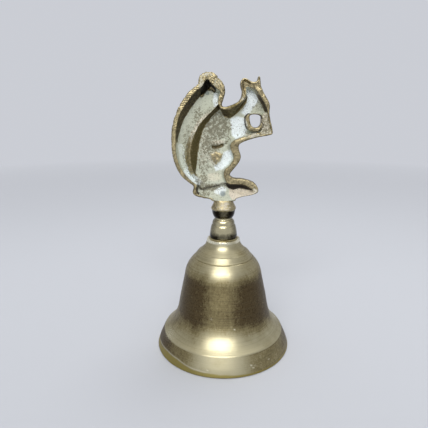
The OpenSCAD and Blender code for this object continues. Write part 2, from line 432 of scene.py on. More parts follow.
def wire(tree, kind, inputs=None, take=0, **settings):
    """Adds a node, sets its properties and inputs, and returns one of its outputs, or a list of them."""
    node = tree.nodes.new(kind)
    for key, value in settings.items():
        setattr(node, key, value)
    for key, value in (inputs or {}).items():
        socket = node.inputs[key]
        if isinstance(value, Wired):
            tree.links.new(value.socket, socket)
        else:
            socket.default_value = (*value, 1.0) if socket.type == "RGBA" else value
    if isinstance(take, list):
        return [Wired(tree, node.outputs[name]) for name in take]
    return Wired(tree, node.outputs[take]) if node.outputs else None


def mapped(where, **inputs):
    """Coordinates turned or scaled by a Mapping node."""
    return wire(where.tree, "ShaderNodeMapping", {"Vector": where, **inputs})


def noise(where, scale, detail, roughness):
    """Noise texture at the given coordinates."""
    return wire(where.tree, "ShaderNodeTexNoise", {
        "Vector": where, "Scale": scale, "Detail": detail, "Roughness": roughness})


def steps(value, low, high, start=0.0, end=1.0, kind="LINEAR"):
    """Value mapped to start at low and to end at high."""
    inputs = {"Value": value, "From Min": low, "From Max": high, "To Min": start, "To Max": end}
    return wire(value.tree, "ShaderNodeMapRange", inputs, interpolation_type=kind)


def blend(factor, a, b):
    """Colour a where the factor is 0 and b where it is 1."""
    return wire(factor.tree, "ShaderNodeMix", {0: factor, 6: a, 7: b}, take=2, data_type="RGBA")


def shade(colour_value, share):
    """A darker colour."""
    return [part * share for part in colour_value]


def new_material(name):
    """Empty node material, and the Object coordinates in it."""
    material = bpy.data.materials.new(name)
    material.use_nodes = True
    material.node_tree.nodes.clear()
    return material, wire(material.node_tree, "ShaderNodeTexCoord", take="Object")


def vertex_masks(tree, *names):
    """The masks stored on a piece, by name."""
    return {name: wire(tree, "ShaderNodeAttribute", take="Fac", attribute_name=name) for name in names}


def finished(material, base, metallic, gloss, height, strength, distance, **more):
    """Ends a material with its shader and bump."""
    tree = material.node_tree
    bump = wire(tree, "ShaderNodeBump", {"Height": height, "Strength": strength, "Distance": distance})
    shader = wire(tree, "ShaderNodeBsdfPrincipled", {
        "Base Color": base, "Metallic": metallic, "Roughness": gloss, "Normal": bump, **more})
    wire(tree, "ShaderNodeOutputMaterial", {"Surface": shader})
    return material


def plain_metal(name, bright, dull, gloss):
    """Metal with soft blotches, fine scratches and a little unevenness."""
    material, where = new_material(name)
    cloud = noise(where, 300.0, 4.0, 0.6)
    grain = noise(where, 2700.0, 3.0, 0.6)
    lines = noise(mapped(where, Scale=(900.0, 900.0, 9000.0)), 1.0, 2.0, 0.5)
    base = blend(steps(cloud, 0.35, 0.65), bright, dull)
    base = blend(steps(grain, 0.55, 0.8), base, shade(dull, 0.5))
    gloss = steps(cloud, 0.3, 0.7, gloss - 0.08, gloss + 0.12)
    return finished(material, base, 1.0, gloss, lines + grain, 0.1, 0.0001)


def shape_tree(name, **sockets):
    """Empty Geometry Nodes tree with named inputs, and the inputs inside it."""
    tree = bpy.data.node_groups.new(name, "GeometryNodeTree")
    labels = [label.replace("_", " ").title() for label in sockets]
    for label, kind in zip(labels, sockets.values()):
        tree.interface.new_socket(name=label, in_out="INPUT", socket_type="NodeSocket" + kind)
    tree.interface.new_socket(name="Solid", in_out="OUTPUT", socket_type="NodeSocketGeometry")
    return tree, wire(tree, "NodeGroupInput", take=labels)


def end_shape(geometry, material):
    """Ends a Geometry Nodes tree with real geometry and its material."""
    realized = wire(geometry.tree, "GeometryNodeRealizeInstances", {"Geometry": geometry})
    painted = wire(geometry.tree, "GeometryNodeSetMaterial", {"Geometry": realized, "Material": material})
    wire(geometry.tree, "NodeGroupOutput", {"Solid": painted})


def lathe_tree():
    """Node tree that turns a profile, given as a line of points in XZ, about Z."""
    tree, (profile, segments, across_flats, material) = shape_tree(
        "Lathe", profile="Geometry", segments="Int", across_flats="Float", material="Material")
    count = wire(tree, "GeometryNodeAttributeDomainSize", {"Geometry": profile})
    grid = wire(tree, "GeometryNodeMeshGrid", {
        "Size X": 1.0, "Size Y": 1.0, "Vertices X": segments + 1.0, "Vertices Y": count})
    number = wire(tree, "GeometryNodeInputIndex")
    point = wire(tree, "GeometryNodeSampleIndex", {
        "Geometry": profile, "Value": wire(tree, "GeometryNodeInputPosition"), "Index": number % count},
        take="Value", data_type="FLOAT_VECTOR")
    reach, height = wire(tree, "ShaderNodeSeparateXYZ", {"Vector": point}, take=["X", "Z"])
    turn = (number / count).floor() / segments * (2 * math.pi)
    from_flat = turn % (math.pi / 3) - math.pi / 6
    radius = reach.lesser(across_flats * 0.5 / from_flat.cosine())
    spot = wire(tree, "ShaderNodeCombineXYZ", {
        "X": radius * turn.cosine(), "Y": radius * turn.sine(), "Z": height})
    moved = wire(tree, "GeometryNodeSetPosition", {"Geometry": grid, "Position": spot})
    merged = wire(tree, "GeometryNodeMergeByDistance", {"Geometry": moved, "Distance": 1e-6})
    end_shape(wire(tree, "GeometryNodeFlipFaces", {"Mesh": merged}), material)
    return tree


def wire_tree():
    """Node tree that runs round wire along a closed line of points."""
    tree, (path, radius, sides, material) = shape_tree(
        "Round Wire", path="Geometry", wire_radius="Float", sides="Int", material="Material")
    curve = wire(tree, "GeometryNodeMeshToCurve", {"Mesh": path})
    section = wire(tree, "GeometryNodeCurvePrimitiveCircle", {"Radius": radius, "Resolution": sides})
    swept = wire(tree, "GeometryNodeCurveToMesh", {
        "Curve": curve, "Profile Curve": section, "Fill Caps": True})
    end_shape(wire(tree, "GeometryNodeSetShadeSmooth", {"Geometry": swept, "Shade Smooth": True}), material)
    return tree


def grown(name, tree, points, closed, values, crease=None):
    """Runs a node tree on a line of points in mm and returns the result as a plain mesh object."""
    last = len(points) - 1
    joints = [(i, i + 1) for i in range(last)] + [(last, 0)] * closed
    piece = mesh_object(name, points, [], edges=joints)
    modifier = piece.modifiers.new("Shape", "NODES")
    modifier.node_group = tree
    for item in tree.interface.items_tree:
        if item.name in values:
            modifier[item.identifier] = values[item.name]
    bake_modifiers(piece)
    if crease is not None:
        piece.data.set_sharp_from_angle(angle=crease)
    return piece


def turned(name, profile, material, segments=96, across_flats=NO_FLATS, crease=math.radians(40)):
    """Turned piece from a profile of radius and height in mm, given so that the outside is on its left."""
    line = [(r, 0.0, z) for r, z in profile]
    tree = bpy.data.node_groups.get("Lathe") or lathe_tree()
    return grown(name, tree, line, False, {
        "Segments": segments, "Across Flats": across_flats * MM, "Material": material}, crease)


# ---------------------------------------------------------------- squirrel casting

# Shapes in the XZ plane, in mm. The outline runs clockwise from the left end of the base.
OUTLINE = [(-3.9, 63.6), (-5.5, 64.4), (-8.5, 65.0), (-11.3, 65.8), (-12.5, 67.2), (-12.2, 69.6),
    (-14.0, 71.2), (-16.6, 73.5), (-18.8, 77.0), (-20.2, 82.0), (-20.6, 88.0), (-20.1, 93.4), (-18.3, 98.8),
    (-15.9, 103.0), (-13.0, 106.5), (-10.4, 108.5), (-9.3, 111.6), (-6.5, 113.4), (-3.6, 112.4),
    (-1.2, 110.2), (0.3, 106.8), (-0.3, 103.4), (-0.9, 101.0), (0.6, 100.5), (3.5, 101.5), (5.8, 102.9),
    (6.8, 105.8), (6.0, 108.6), (6.7, 110.6), (8.2, 110.8), (10.6, 109.6), (12.3, 110.0), (12.8, 111.4),
    (13.4, 111.2), (13.8, 108.4), (15.0, 105.6), (16.4, 103.4), (17.4, 101.0), (17.4, 97.5), (18.5, 92.9),
    (18.8, 90.4), (17.0, 89.6), (13.8, 89.1), (9.0, 87.8), (6.1, 86.4), (5.8, 84.5), (6.6, 81.5),
    (5.8, 79.0), (3.5, 76.2), (2.3, 74.2), (3.7, 73.1), (7.8, 72.6), (11.5, 71.4), (13.6, 69.2),
    (13.6, 67.2), (11.4, 66.2), (7.9, 65.5), (5.0, 64.6), (3.9, 63.6)]
# The gap under the chin, and the outside of the raised lip round its left and lower sides.
CHIN_GAP = [(9.9, 97.2), (12.5, 97.6), (14.3, 96.8), (14.4, 94.4), (13.0, 92.8), (11.0, 93.0), (10.1, 94.5)]
CHIN_LIP = [(9.6, 97.9), (8.2, 96.6), (8.2, 94.6), (8.9, 92.4), (10.2, 91.3), (12.2, 91.1), (14.0, 91.7),
    (15.0, 93.6), (14.7, 94.4), (13.4, 95.4), (11.0, 96.6)]
# Middle line of the tail.
TAIL_LINE = [(-8.6, 68.4), (-13.0, 73.0), (-15.9, 79.4), (-16.6, 86.6), (-15.2, 93.4), (-12.0, 99.4),
    (-8.2, 103.8), (-4.6, 107.6), (-4.9, 112.0)]
# Lines in the hollow back.
LINES = {
    # Inner edge of the tail's rim, from the heel up round the tip and down to the nape.
    "tail_rim": [(-10.8, 70.2), (-12.1, 71.1), (-13.9, 72.6), (-16.0, 75.2), (-17.8, 78.5), (-18.7, 81.8),
        (-19.0, 85.0), (-18.9, 88.5), (-18.5, 92.4), (-17.8, 95.9), (-16.3, 99.1), (-13.8, 102.7),
        (-10.9, 106.1), (-8.5, 107.9), (-7.2, 110.0), (-6.2, 110.4), (-4.9, 108.9), (-2.9, 107.1),
        (-1.6, 106.0), (-2.2, 103.4), (-2.2, 101.2)],
    # Rest of that edge: nape, ear, brow, muzzle, paws, forearm, belly and base.
    "body_rim": [(-1.5, 99.8), (0.3, 99.5), (2.6, 99.7), (4.6, 100.8), (6.6, 102.3), (8.0, 104.2),
        (8.0, 106.4), (8.2, 108.0), (9.8, 107.9), (11.7, 107.0), (13.2, 105.1), (14.6, 103.1),
        (15.8, 101.0), (16.6, 98.9), (17.0, 96.0), (17.9, 93.2), (18.0, 91.2), (14.6, 90.9), (11.4, 90.3),
        (8.6, 89.3), (5.7, 88.5), (3.8, 87.6), (2.6, 86.4), (2.6, 84.8), (3.3, 83.2), (3.9, 81.4),
        (3.6, 79.9), (2.2, 77.9), (0.5, 76.3), (0.0, 74.6), (0.6, 72.4), (2.0, 70.8), (5.3, 70.6),
        (8.2, 70.3), (10.5, 69.1), (12.4, 67.6), (11.6, 66.6), (7.9, 65.8), (4.6, 64.9), (2.4, 64.3),
        (-2.0, 64.4), (-5.6, 65.1), (-8.4, 65.8), (-10.7, 66.7), (-11.1, 68.4)],
    # Crest between the hollows of tail and body, from the heel up to the nape.
    "crest": [(-9.6, 69.4), (-11.8, 74.4), (-13.1, 78.6), (-13.4, 82.0), (-13.0, 85.4), (-12.0, 89.0),
        (-10.2, 92.9), (-7.8, 95.9), (-5.2, 98.4), (-2.4, 101.4)],
    # Step between the body and the base.
    "base_step": [(-10.8, 69.6), (-8.7, 68.9), (-6.9, 69.6), (-3.2, 70.4), (-0.3, 71.1), (2.0, 70.0)],
    # Crease over the hip.
    "crease": [(-4.2, 85.3), (-2.1, 85.4), (-0.5, 86.0), (2.0, 86.4)],
    # Edge of the shoulder.
    "shoulder": [(-0.6, 97.0), (0.7, 93.8), (2.1, 90.3), (3.4, 88.2)],
}
# Width of the slope from the crest down to the body, as height and width.
CREST_SLOPE = [(72.0, 0.5), (75.0, 0.7), (78.0, 2.0), (81.0, 2.8), (85.0, 3.2), (88.0, 2.8), (92.0, 2.4),
    (97.0, 1.5)]
# Soft lump on the belly, and the areas under nape, foot and tail tip that carry painted shade; the tail tip's
# area is also a deeper pocket.
BELLY_LUMP = [(-5.8, 82.8), (-2.9, 83.8), (-0.3, 82.9), (-0.6, 81.0), (-3.2, 78.4), (-5.0, 80.4)]
NAPE_SHADE = [(-1.9, 99.9), (0.3, 99.7), (2.6, 100.0), (4.6, 101.1), (6.6, 102.6), (8.2, 104.8),
    (8.8, 104.2), (8.5, 102.0), (6.8, 99.8), (4.6, 97.7), (2.0, 96.0), (-0.2, 96.8)]
FOOT_SHADE = [(0.5, 71.2), (3.1, 70.7), (5.3, 70.9), (8.2, 70.7), (10.5, 69.6), (11.8, 68.0), (9.8, 68.4),
    (6.0, 69.0), (3.8, 68.4), (1.6, 69.2)]
TIP_SHADE = [(-9.2, 104.0), (-9.0, 107.2), (-7.2, 110.2), (-6.2, 110.7), (-4.9, 109.3), (-2.9, 107.5),
    (-3.5, 105.7), (-5.0, 106.7), (-7.0, 106.6), (-8.3, 104.3)]
# Marks on the floor of the hollow are shifted away from this point, by so much per mm of depth and distance.
SINK_X, SINK_Z, SINK = -4, 98, 0.0063

# Whitest areas of the dried polish with their strength, and the pink area on the foot.
WHITE_AREAS = [
    (1.0, [(2.4, 96.0), (5.0, 97.0), (8.0, 96.2), (8.7, 92.0), (8.2, 89.9), (4.5, 88.3), (2.9, 89.9)]),
    (0.9, [(-0.2, 83.4), (2.6, 84.4), (3.5, 81.2), (2.0, 78.6), (-0.8, 76.4), (-3.4, 75.9), (-4.0, 78.0),
        (-1.4, 79.6)]),
    (0.45, [(-18.4, 87.0), (-15.6, 86.6), (-14.9, 82.4), (-14.0, 77.4), (-12.4, 74.6), (-14.6, 73.9),
        (-17.4, 78.7)]),
    (1.0, [(-14.6, 78.4), (-11.0, 74.2), (-8.4, 71.4), (-10.6, 70.0), (-13.8, 72.2), (-16.2, 75.4)]),
    (1.0, [(8.5, 106.6), (10.2, 106.4), (13.0, 104.2), (12.4, 102.2), (10.8, 99.8), (9.3, 97.6),
        (8.2, 97.2), (6.4, 98.2), (8.4, 101.8)]),
    (0.7, [(-3.4, 69.3), (-0.6, 70.0), (1.4, 68.9), (0.8, 67.6), (-1.4, 66.0), (-4.2, 67.0)]),
    (1.0, [(-4.0, 105.4), (-2.6, 105.4), (-2.6, 100.6), (-3.8, 100.0), (-4.4, 102.6)])]
PINK_AREA = [(2.2, 68.9), (3.8, 68.3), (6.0, 68.9), (9.8, 68.3), (12.4, 67.4), (11.6, 66.2), (7.9, 65.3),
    (3.4, 64.4), (2.2, 66.4)]
# Soft patches as x, z, half width, half height and strength: polish worn on to the rim, dark specks, the
# duller stretches of the rim, and beige polish.
WORN = [(-7.0, 112.6, 3.0, 1.2, 0.62), (-9.4, 109.0, 1.0, 2.2, 0.6), (-2.4, 109.6, 1.6, 1.6, 0.4),
    (6.4, 103.6, 0.9, 1.2, 0.6), (12.4, 67.8, 1.3, 1.2, 0.7), (12.0, 89.6, 4.5, 0.8, 0.6),
    (8.6, 94.8, 0.6, 2.0, 0.5), (6.6, 108.4, 0.5, 1.6, 0.35)]
SPECKLED = [(-2.8, 93.6, 4.7, 5.4, 0.95), (-5.4, 87.0, 3.4, 4.6, 0.85), (-8.0, 80.0, 2.0, 5.4, 0.6),
    (-8.6, 72.6, 2.6, 2.0, 0.9), (13.0, 100.6, 2.2, 1.6, 0.45), (-5.6, 69.4, 4.6, 1.2, 1.0),
    (-13.4, 86.0, 2.4, 7.0, 0.5), (-9.6, 96.0, 2.2, 4.0, 0.6), (16.0, 93.8, 2.2, 3.6, 0.85),
    (11.4, 89.9, 4.0, 1.2, 0.6), (-8.0, 66.8, 2.4, 0.9, 0.7), (0.6, 88.6, 1.6, 2.0, 0.5),
    (-4.6, 79.4, 2.6, 2.6, 0.35)]
DULL_RIM = [(2.4, 101.2, 3.6, 1.2, 1.0), (-11.8, 68.0, 1.4, 2.4, 0.4), (3.4, 78.4, 1.6, 3.0, 0.3),
    (-1.0, 104.0, 1.4, 3.0, 0.4)]
BEIGE = [(-3.8, 73.6, 2.8, 1.8, 0.75), (-10.4, 99.0, 2.0, 5.0, 0.3), (-2.2, 87.2, 2.8, 0.9, 0.9),
    (-8.0, 85.0, 2.0, 8.0, 0.5), (9.4, 94.8, 0.9, 2.4, 0.7), (16.4, 94.0, 1.6, 3.0, 0.4),
    (-3.2, 81.0, 2.8, 2.8, 0.8)]

# Handle's turned foot, waist, cone and collar, as height and radius in mm.
STEM = [(47.85, 5.45), (48.3, 5.66), (49.0, 5.68), (50.0, 5.57), (51.0, 5.43), (52.0, 5.26), (52.8, 5.05),
    (53.25, 4.86), (53.4, 4.62), (54.2, 4.6), (55.0, 4.36), (55.5, 3.98), (55.8, 3.6), (56.2, 3.62),
    (56.8, 4.0), (57.4, 4.36), (58.4, 4.64), (59.7, 4.78), (59.85, 5.0), (60.3, 5.08), (60.9, 4.92),
    (61.6, 4.56), (62.4, 4.14), (63.1, 4.0), (64.0, 3.8)]

# Forms of the modelled side: x, z, x, z, the radii at the two ends, and the y of the top.
FORMS = [
    (-4.4, 84.0, -1.0, 94.0, 6.8, 6.4, 4.0),      # back
    (2.4, 81.0, 3.4, 92.0, 4.0, 5.2, 3.4),        # chest
    (-3.0, 77.2, -3.6, 79.4, 8.0, 7.2, 5.4),      # haunch
    (1.4, 93.2, 2.6, 91.4, 4.2, 3.2, 4.9),        # shoulder
    (3.6, 90.6, 14.0, 90.8, 2.4, 1.7, 4.9),       # forearm
    (4.0, 96.8, 8.6, 100.4, 5.4, 5.0, 3.6),       # neck
    (10.6, 103.0, 11.2, 102.0, 5.4, 5.0, 4.7),    # head
    (9.2, 100.2, 11.6, 99.8, 2.8, 2.4, 4.9),      # cheek
    (12.8, 101.4, 16.0, 99.2, 3.2, 1.9, 4.2),     # muzzle
    (16.0, 95.2, 16.1, 95.0, 2.5, 2.5, 4.8),      # nut
    (14.8, 91.6, 17.2, 92.6, 1.7, 1.4, 5.2),      # paw
    (-1.0, 68.4, 11.0, 69.0, 3.4, 2.4, 4.5),      # foot
    (-9.6, 67.4, 2.0, 66.2, 2.4, 2.0, 2.6),       # base
    (7.9, 106.2, 7.7, 109.0, 2.3, 1.6, 3.9),      # ear
    (12.4, 106.6, 13.2, 109.6, 1.5, 0.7, 2.6)]    # far ear
# Lines cut into the modelled side: half width, depth and course.
CUTS = [
    (0.75, 0.9, [(3.4, 77.6), (4.0, 81.6), (2.0, 85.6), (-2.4, 87.3), (-7.0, 86.0), (-10.4, 82.0)]),  # haunch
    (0.6, 0.6, [(-9.6, 73.0), (-5.4, 71.0), (0.0, 71.3), (3.4, 72.6)]),  # hock
    (0.65, 0.7, [(-1.6, 97.0), (-1.6, 93.6), (0.6, 90.4), (3.6, 88.6)]),  # shoulder
    (0.5, 0.5, [(5.4, 95.2), (7.0, 93.4), (9.6, 92.8), (13.4, 92.6)]),  # forearm
    (0.5, 0.4, [(8.4, 97.4), (6.6, 100.0), (6.6, 103.4)]),  # jaw
    (0.3, 0.4, [(17.4, 100.2), (15.8, 99.6), (14.4, 100.2), (13.8, 100.9)]),  # mouth
    (0.3, 0.35, [(17.2, 102.0), (16.6, 101.5), (16.4, 101.0)]),  # nostril
    (0.35, 0.45, [(10.9, 103.2), (11.7, 104.7), (13.2, 104.8), (14.1, 103.6)]),  # upper lid
    (0.35, 0.35, [(11.0, 103.0), (12.2, 102.3), (13.6, 102.8), (14.2, 103.6)]),  # lower lid
    (0.7, 0.9, [(7.6, 106.2), (7.5, 107.6), (7.7, 109.4)]),  # ear
    (0.3, 0.4, [(14.4, 93.2), (15.0, 91.6)]),  # finger
    (0.3, 0.4, [(15.6, 93.6), (16.2, 91.8)]),  # finger
    (0.3, 0.4, [(16.9, 94.0), (17.4, 92.2)]),  # finger
    (0.35, 0.4, [(8.4, 70.6), (10.4, 68.6), (12.6, 68.4)]),  # toe
    (0.35, 0.4, [(7.0, 69.4), (9.4, 67.4), (11.8, 67.2)])]  # toe
# Eye of the modelled side: x, z, radius and height.
EYE = (12.6, 103.6, 0.95, 0.75)
# Spacing of the fur strokes and of the locks along the tail.
FUR_PITCH, LOCK_PITCH = 0.95, 3.1
# Space that the casting is sculpted in, as its ranges in x, y and z.
SCULPTING_BOX = ((-22.0, 20.6), (-6.4, 6.6), (47.2, 115.2))

# Colours of the casting beside those in its settings.
FOOT_BRASS = (0.56, 0.50, 0.32)
BEIGE_POLISH = (0.74, 0.66, 0.52)
WHITE_POLISH = (0.88, 0.94, 0.93)
BLUE_STAIN = (0.17, 0.21, 0.22)
DARK_SPECK = (0.15, 0.13, 0.075)
SANDY_SPECK = (0.30, 0.29, 0.21)
# The olive film is also the colour of painted shade on slopes, walls and the rim's edge.
OLIVE_FILM_AND_SHADE = (0.13, 0.105, 0.045)


def hollow_depth(settings, x, z, lines, edge, chin_gap):
    """Depth of the hollow back below its rim over the XZ grid, and the zones that its tones share."""
    deep = settings.hollow_depth
    at = SimpleNamespace()
    at.ragged = 0.35 * rough(np.stack([x, z], -1), 1.3, 71)
    at.inside = outline_distance(np.vstack([lines["tail_rim"], lines["body_rim"]]), x, z) < 0
    at.crest_gap, _, side = line_distance(lines["crest"], x, z)
    at.to_tail = line_distance(lines["tail_rim"], x, z)[0]
    at.to_body = line_distance(lines["body_rim"], x, z)[0]
    at.in_tail = (side > 0) & (z > 68) & (x + 0.18 * (105 - z) < 1.2)
    at.crest_on = ramp(z, 71.0, 76.0)
    crest = mix(1.2, deep, 1 - at.crest_on) - 0.4 * ramp(z, 95, 100)

    # The tail: a floor that falls away from the crest, a steep left wall, and a pocket at the tip.
    at.left = fade(x, -6.2, -4.8)
    at.wall = 0.5 + 1.9 * ramp(z, 85, 99) * at.left
    at.tip = cover(TIP_SHADE, x, z, 0.25)
    floor = mix(crest, deep + 0.2, ramp(at.crest_gap, -0.4, 4.4 - 1.4 * ramp(z, 93, 101)))
    tail = np.minimum(floor, (deep + 0.2) * np.clip(at.to_tail / at.wall, 0, 1) ** 0.8)
    tail = tail + 1.4 * at.tip * ramp(at.to_tail, 0.2, 0.8)
    tail = tail + 0.6 * np.exp(-((x + 6.4) ** 2 + (z - 105.2) ** 2) / 0.5)

    # The body: slope under the crest, belly lump, hip crease with its ledge, and the arm.
    at.slope = np.interp(z, *np.array(CREST_SLOPE).T)
    body = mix(crest, deep, ramp(at.crest_gap, -0.4, at.slope * 1.2))
    nape = np.exp(-((x - 2.6) / 3.0) ** 2) * ramp(z, 93, 96)
    body = np.minimum(body, deep * np.clip(at.to_body / (0.9 + 2.1 * nape), 0, 1) ** 0.9)
    low_z = z + SINK * (SINK_Z - z) * deep
    at.lump = cover(BELLY_LUMP, x, low_z, 0.9)
    crease_gap, crease_run, crease_side = line_distance(lines["crease"], x, low_z)
    crease_gap = crease_gap + 0.5 * at.ragged
    at.crease = fade(crease_gap, 0.3, 1.0) * (1 - 0.8 * ramp(crease_run, 3.6, 5.0))
    ledge = gate(-crease_side * crease_gap, -2.0, -0.5, 0.4) * (crease_gap < 3) * gate(x, -4.4, 1.0, 0.8)
    arm_gap, _, arm_side = line_distance(lines["shoulder"], x, low_z)
    arm = ramp(-arm_side * arm_gap, -0.3, 0.5) * fade(arm_gap, 1.0, 4.0) * gate(z, 88, 97, 1.0)
    at.groove = fade(arm_gap, 0.1, 0.5) * gate(z, 88, 95, 1.0)
    body = body - 0.9 * at.lump - 0.4 * ledge + 0.9 * at.crease - 0.5 * arm + 0.25 * at.groove
    body = body * (1 - 0.42 * fade(z, 70.5, 74.5))

    # The base and the foot, below the step.
    at.step_gap, _, step_side = line_distance(lines["base_step"], x, low_z)
    below = ramp(-step_side * at.step_gap, -0.1, 0.5) * (z < 74)
    base = deep * (0.26 + 0.56 * ramp(z - 0.08 * x, 65.0, 69.8))
    foot = deep * (0.08 + 1.05 * ramp(z + 0.16 * (x - 5), 65.6, 69.6))
    low = np.minimum(mix(base, foot, ramp(x, 0.8, 2.8)), deep * np.clip(at.to_body / 0.8, 0, 1))
    depth = mix(np.where(at.in_tail, tail, body), low, below)

    # The raised lip round the gap under the chin, and the paws, which stay near the rim.
    at.lip_gap = outline_distance(curve_through(CHIN_LIP), x, z)
    at.lip = ramp(-at.lip_gap, -0.25, 0.25) * (chin_gap > -0.6)
    depth = np.minimum(mix(depth, 0.45, at.lip), 0.5 + 5.0 * ramp(chin_gap, 0.3, 0.9))
    at.paws = ramp(x - 0.1 * (z - 94), 14.2, 14.8) * gate(z, 89.2, 98.2, 0.6) * ramp(-edge, 0.35, 0.9)
    at.depth = np.where(at.inside, np.maximum(mix(depth, 0.75, at.paws), 0.5 * at.paws), 0.5 * at.paws)
    return at


def hollow_tones(at, x, z, edge, chin_gap):
    """Strength of each tone of the finish and of the painted shade in the hollow back, over the XZ grid."""
    seen_x = x - SINK * (x - SINK_X) * at.depth
    seen_z = z + SINK * (SINK_Z - z) * at.depth
    near_crest = at.crest_gap + at.ragged
    # The tail's left inner wall and the crest's slope down to the body face right, and both get painted
    # shade.
    tail_wall = at.in_tail * fade(at.to_tail + at.ragged * 0.4, at.wall * 0.9, at.wall * 1.05)
    tail_wall = tail_wall * ramp(z, 84, 89) * at.left
    crest_side = ~at.in_tail * fade(near_crest, at.slope * 0.8, at.slope * 1.25) * at.crest_on
    pale_crest = at.inside * at.in_tail * fade(near_crest, 0.9, 1.8) * gate(z, 86.5, 98.5, 2.0)
    reach = 3.6 - 1.4 * ramp(z, 94, 100)
    granular = at.in_tail * fade(at.crest_gap + 1.6 * at.ragged, 0.9, reach) * at.crest_on
    grainy = granular * (1 - 0.6 * ramp(z, 86, 93))
    face_line = fade(at.to_body, 0.5, 1.5) * gate(seen_x, 8.6, 18.0, 0.8) * gate(z, 98.4, 108.2, 0.6)
    face_line = face_line * (0.5 + 0.5 * fade(z, 103.0, 106.0))
    face_rim = gate(x, 12.5, 18.0, 0.8) * gate(z, 98.5, 106.0, 0.8)
    thin_line = fade(at.to_body, 0.25, 0.6) * (z < 100) * (z > 70) * 0.8
    lip_line = gate(at.lip_gap, -0.1, 0.24, 0.12) * (1 - 0.6 * fade(z, 91.5, 92.5))
    lip_line = np.maximum(lip_line, gate(chin_gap, -0.2, 0.2, 0.1) * (z > 96))
    step_line = fade(at.step_gap + at.ragged, 0.4, 1.0) * (x < 2.4)
    heel_line = fade(at.to_body, 0.3, 0.7) * (x < -9.8) * (z < 71)
    nape_shade = cover(NAPE_SHADE, seen_x, seen_z, 0.35)
    foot_shade = cover(FOOT_SHADE, seen_x, seen_z, 0.3)
    spot = np.hypot(seen_x + 0.4, seen_z - 66.8)
    ring = np.abs(np.hypot(seen_x + 6.5, seen_z - 105.5) - 0.45)

    low_edge = fade(z, 65.6, 66.6) * ramp(-edge, 0.2, 0.5) * gate(x, -4.5, 9.0, 1.5)
    floor = np.maximum(at.inside * np.maximum(ramp(at.depth, 0.5, 1.1), fade(z, 67.5, 68.5)), low_edge)
    hidden = most(crest_side, 0.95 * tail_wall, at.crease, nape_shade, foot_shade,
                  0.9 * face_line, 0.95 * at.lip)
    worn = most(patches(WORN, x + 3 * at.ragged, z + 3 * at.ragged), 0.62 * at.paws, 0.66 * pale_crest)
    worn = ramp(-edge, 0.15, 0.5) * worn
    # Grime is dirt together with painted shade: on the tail's left wall, the crest's slope down to the body,
    # the hip crease, under the foot and the nape, along the face, and as dark lines round the chin lip, heel
    # and step.
    layers = {
        "grime_and_shade": [0.6 * tail_wall, 0.5 * crest_side * gate(z, 95, 120, 1.6), 0.5 * at.crease, foot_shade,
                  0.55 * nape_shade * fade(x, 1.0, 6.0), 0.8 * face_line, lip_line, heel_line,
                  0.55 * step_line],
        # Olive film, laid also as painted shade on the crest's slope, the tail's wall, the crease, under the
        # nape and along the face and the step.
        "olive": [crest_side, 0.9 * tail_wall, 0.8 * at.crease, thin_line, 0.25 * at.lump, 0.45 * at.groove,
                  nape_shade, 0.8 * face_line, 0.45 * granular * fade(z, 82, 94), 0.75 * step_line,
                  0.25 * at.lip, 0.35 * face_rim],
        # Blackest painted shade with tarnish: the tail tip's pocket, under the foot, and high on the tail's
        # left wall.
        "black_tarnish_and_shade": [at.tip, 0.6 * foot_shade, 0.45 * tail_wall * ramp(z, 97, 103)],
        "white": [share * cover(area, seen_x, seen_z, 0.8) for share, area in WHITE_AREAS],
        "blue": [0.75 * fade(spot, 0.8, 1.4), 0.7 * fade(ring, 0.15, 0.45)]}
    tones = {name: at.inside * most(*layer) for name, layer in layers.items()}
    tones["chalk"] = np.maximum(floor * (1 - 0.68 * grainy) * (1 - 0.72 * at.lump) * (1 - hidden), worn)
    specks = np.maximum(patches(SPECKLED, seen_x, seen_z), 0.9 * grainy)
    tones["speck"] = np.maximum(at.inside, at.paws) * specks
    beige = 0.6 * at.inside * patches(BEIGE, seen_x, seen_z)
    tones["beige"] = most(beige, 0.9 * worn, 1.6 * cover(PINK_AREA, seen_x, seen_z, 0.4))
    return tones


def modelled_side(settings, x, z, tail_gap, along, strokes, is_tail):
    """Height in Y of the modelled side over the XZ grid: rounded forms, cut lines and fur."""
    flat = np.stack([x, z], -1)
    front = np.full(x.shape, 1.2)
    for x0, z0, x1, z1, r0, r1, top in FORMS:
        run2 = (x1 - x0) ** 2 + (z1 - z0) ** 2
        t = np.clip(((x - x0) * (x1 - x0) + (z - z0) * (z1 - z0)) / run2, 0, 1)
        out = np.hypot(x - x0 - t * (x1 - x0), z - z0 - t * (z1 - z0)) / (r0 + t * (r1 - r0))
        front = smooth_max(front, (top - 0.6) * dome(out) + 0.6, 0.5)

    # The tail with its fur strokes and tufts, and shorter fur on the body.
    wide = 3.4 + 1.6 * np.sin(math.pi * np.clip(along / 50.0, 0, 1))
    front = smooth_max(front, 4.5 * dome(tail_gap / wide) + 0.4, 0.6)
    front = front + is_tail * settings.fur_depth * strokes
    tufted = np.abs(np.sin(math.pi * (along + 0.8 * tail_gap) / 4.6 + 0.7 * value_noise(flat, 5.0, 19)))
    front = front - 0.5 * is_tail * fade(tufted, 0.0, 0.4)
    lie = 0.94 * x - 0.35 * z + 1.2 * value_noise(flat, 4.0, 13)
    row = 0.35 * x + 0.94 * z + 1.8 * value_noise(flat, 2.2, 15)
    tufts = np.sin(2 * math.pi * lie / 1.15) * (0.35 + 0.65 * np.sin(2 * math.pi * row / 3.4) ** 2)
    furred = (1 - is_tail) * ramp(front, 2.2, 3.2) * gate(z, 73, 101, 1.5) * fade(x, 5.0, 8.0)
    front = front + 0.6 * settings.fur_depth * tufts * furred

    for half, deep, course in CUTS:
        away = line_distance(curve_through(course, 5, False), x, z)[0]
        front = front - deep * fade(away, 0.2 * half, 1.6 * half)
    eye_x, eye_z, eye_radius, eye_height = EYE
    ball = 1 - ((x - eye_x) ** 2 + (z - eye_z) ** 2) / eye_radius**2
    return front + eye_height * np.sqrt(np.maximum(ball, 0))


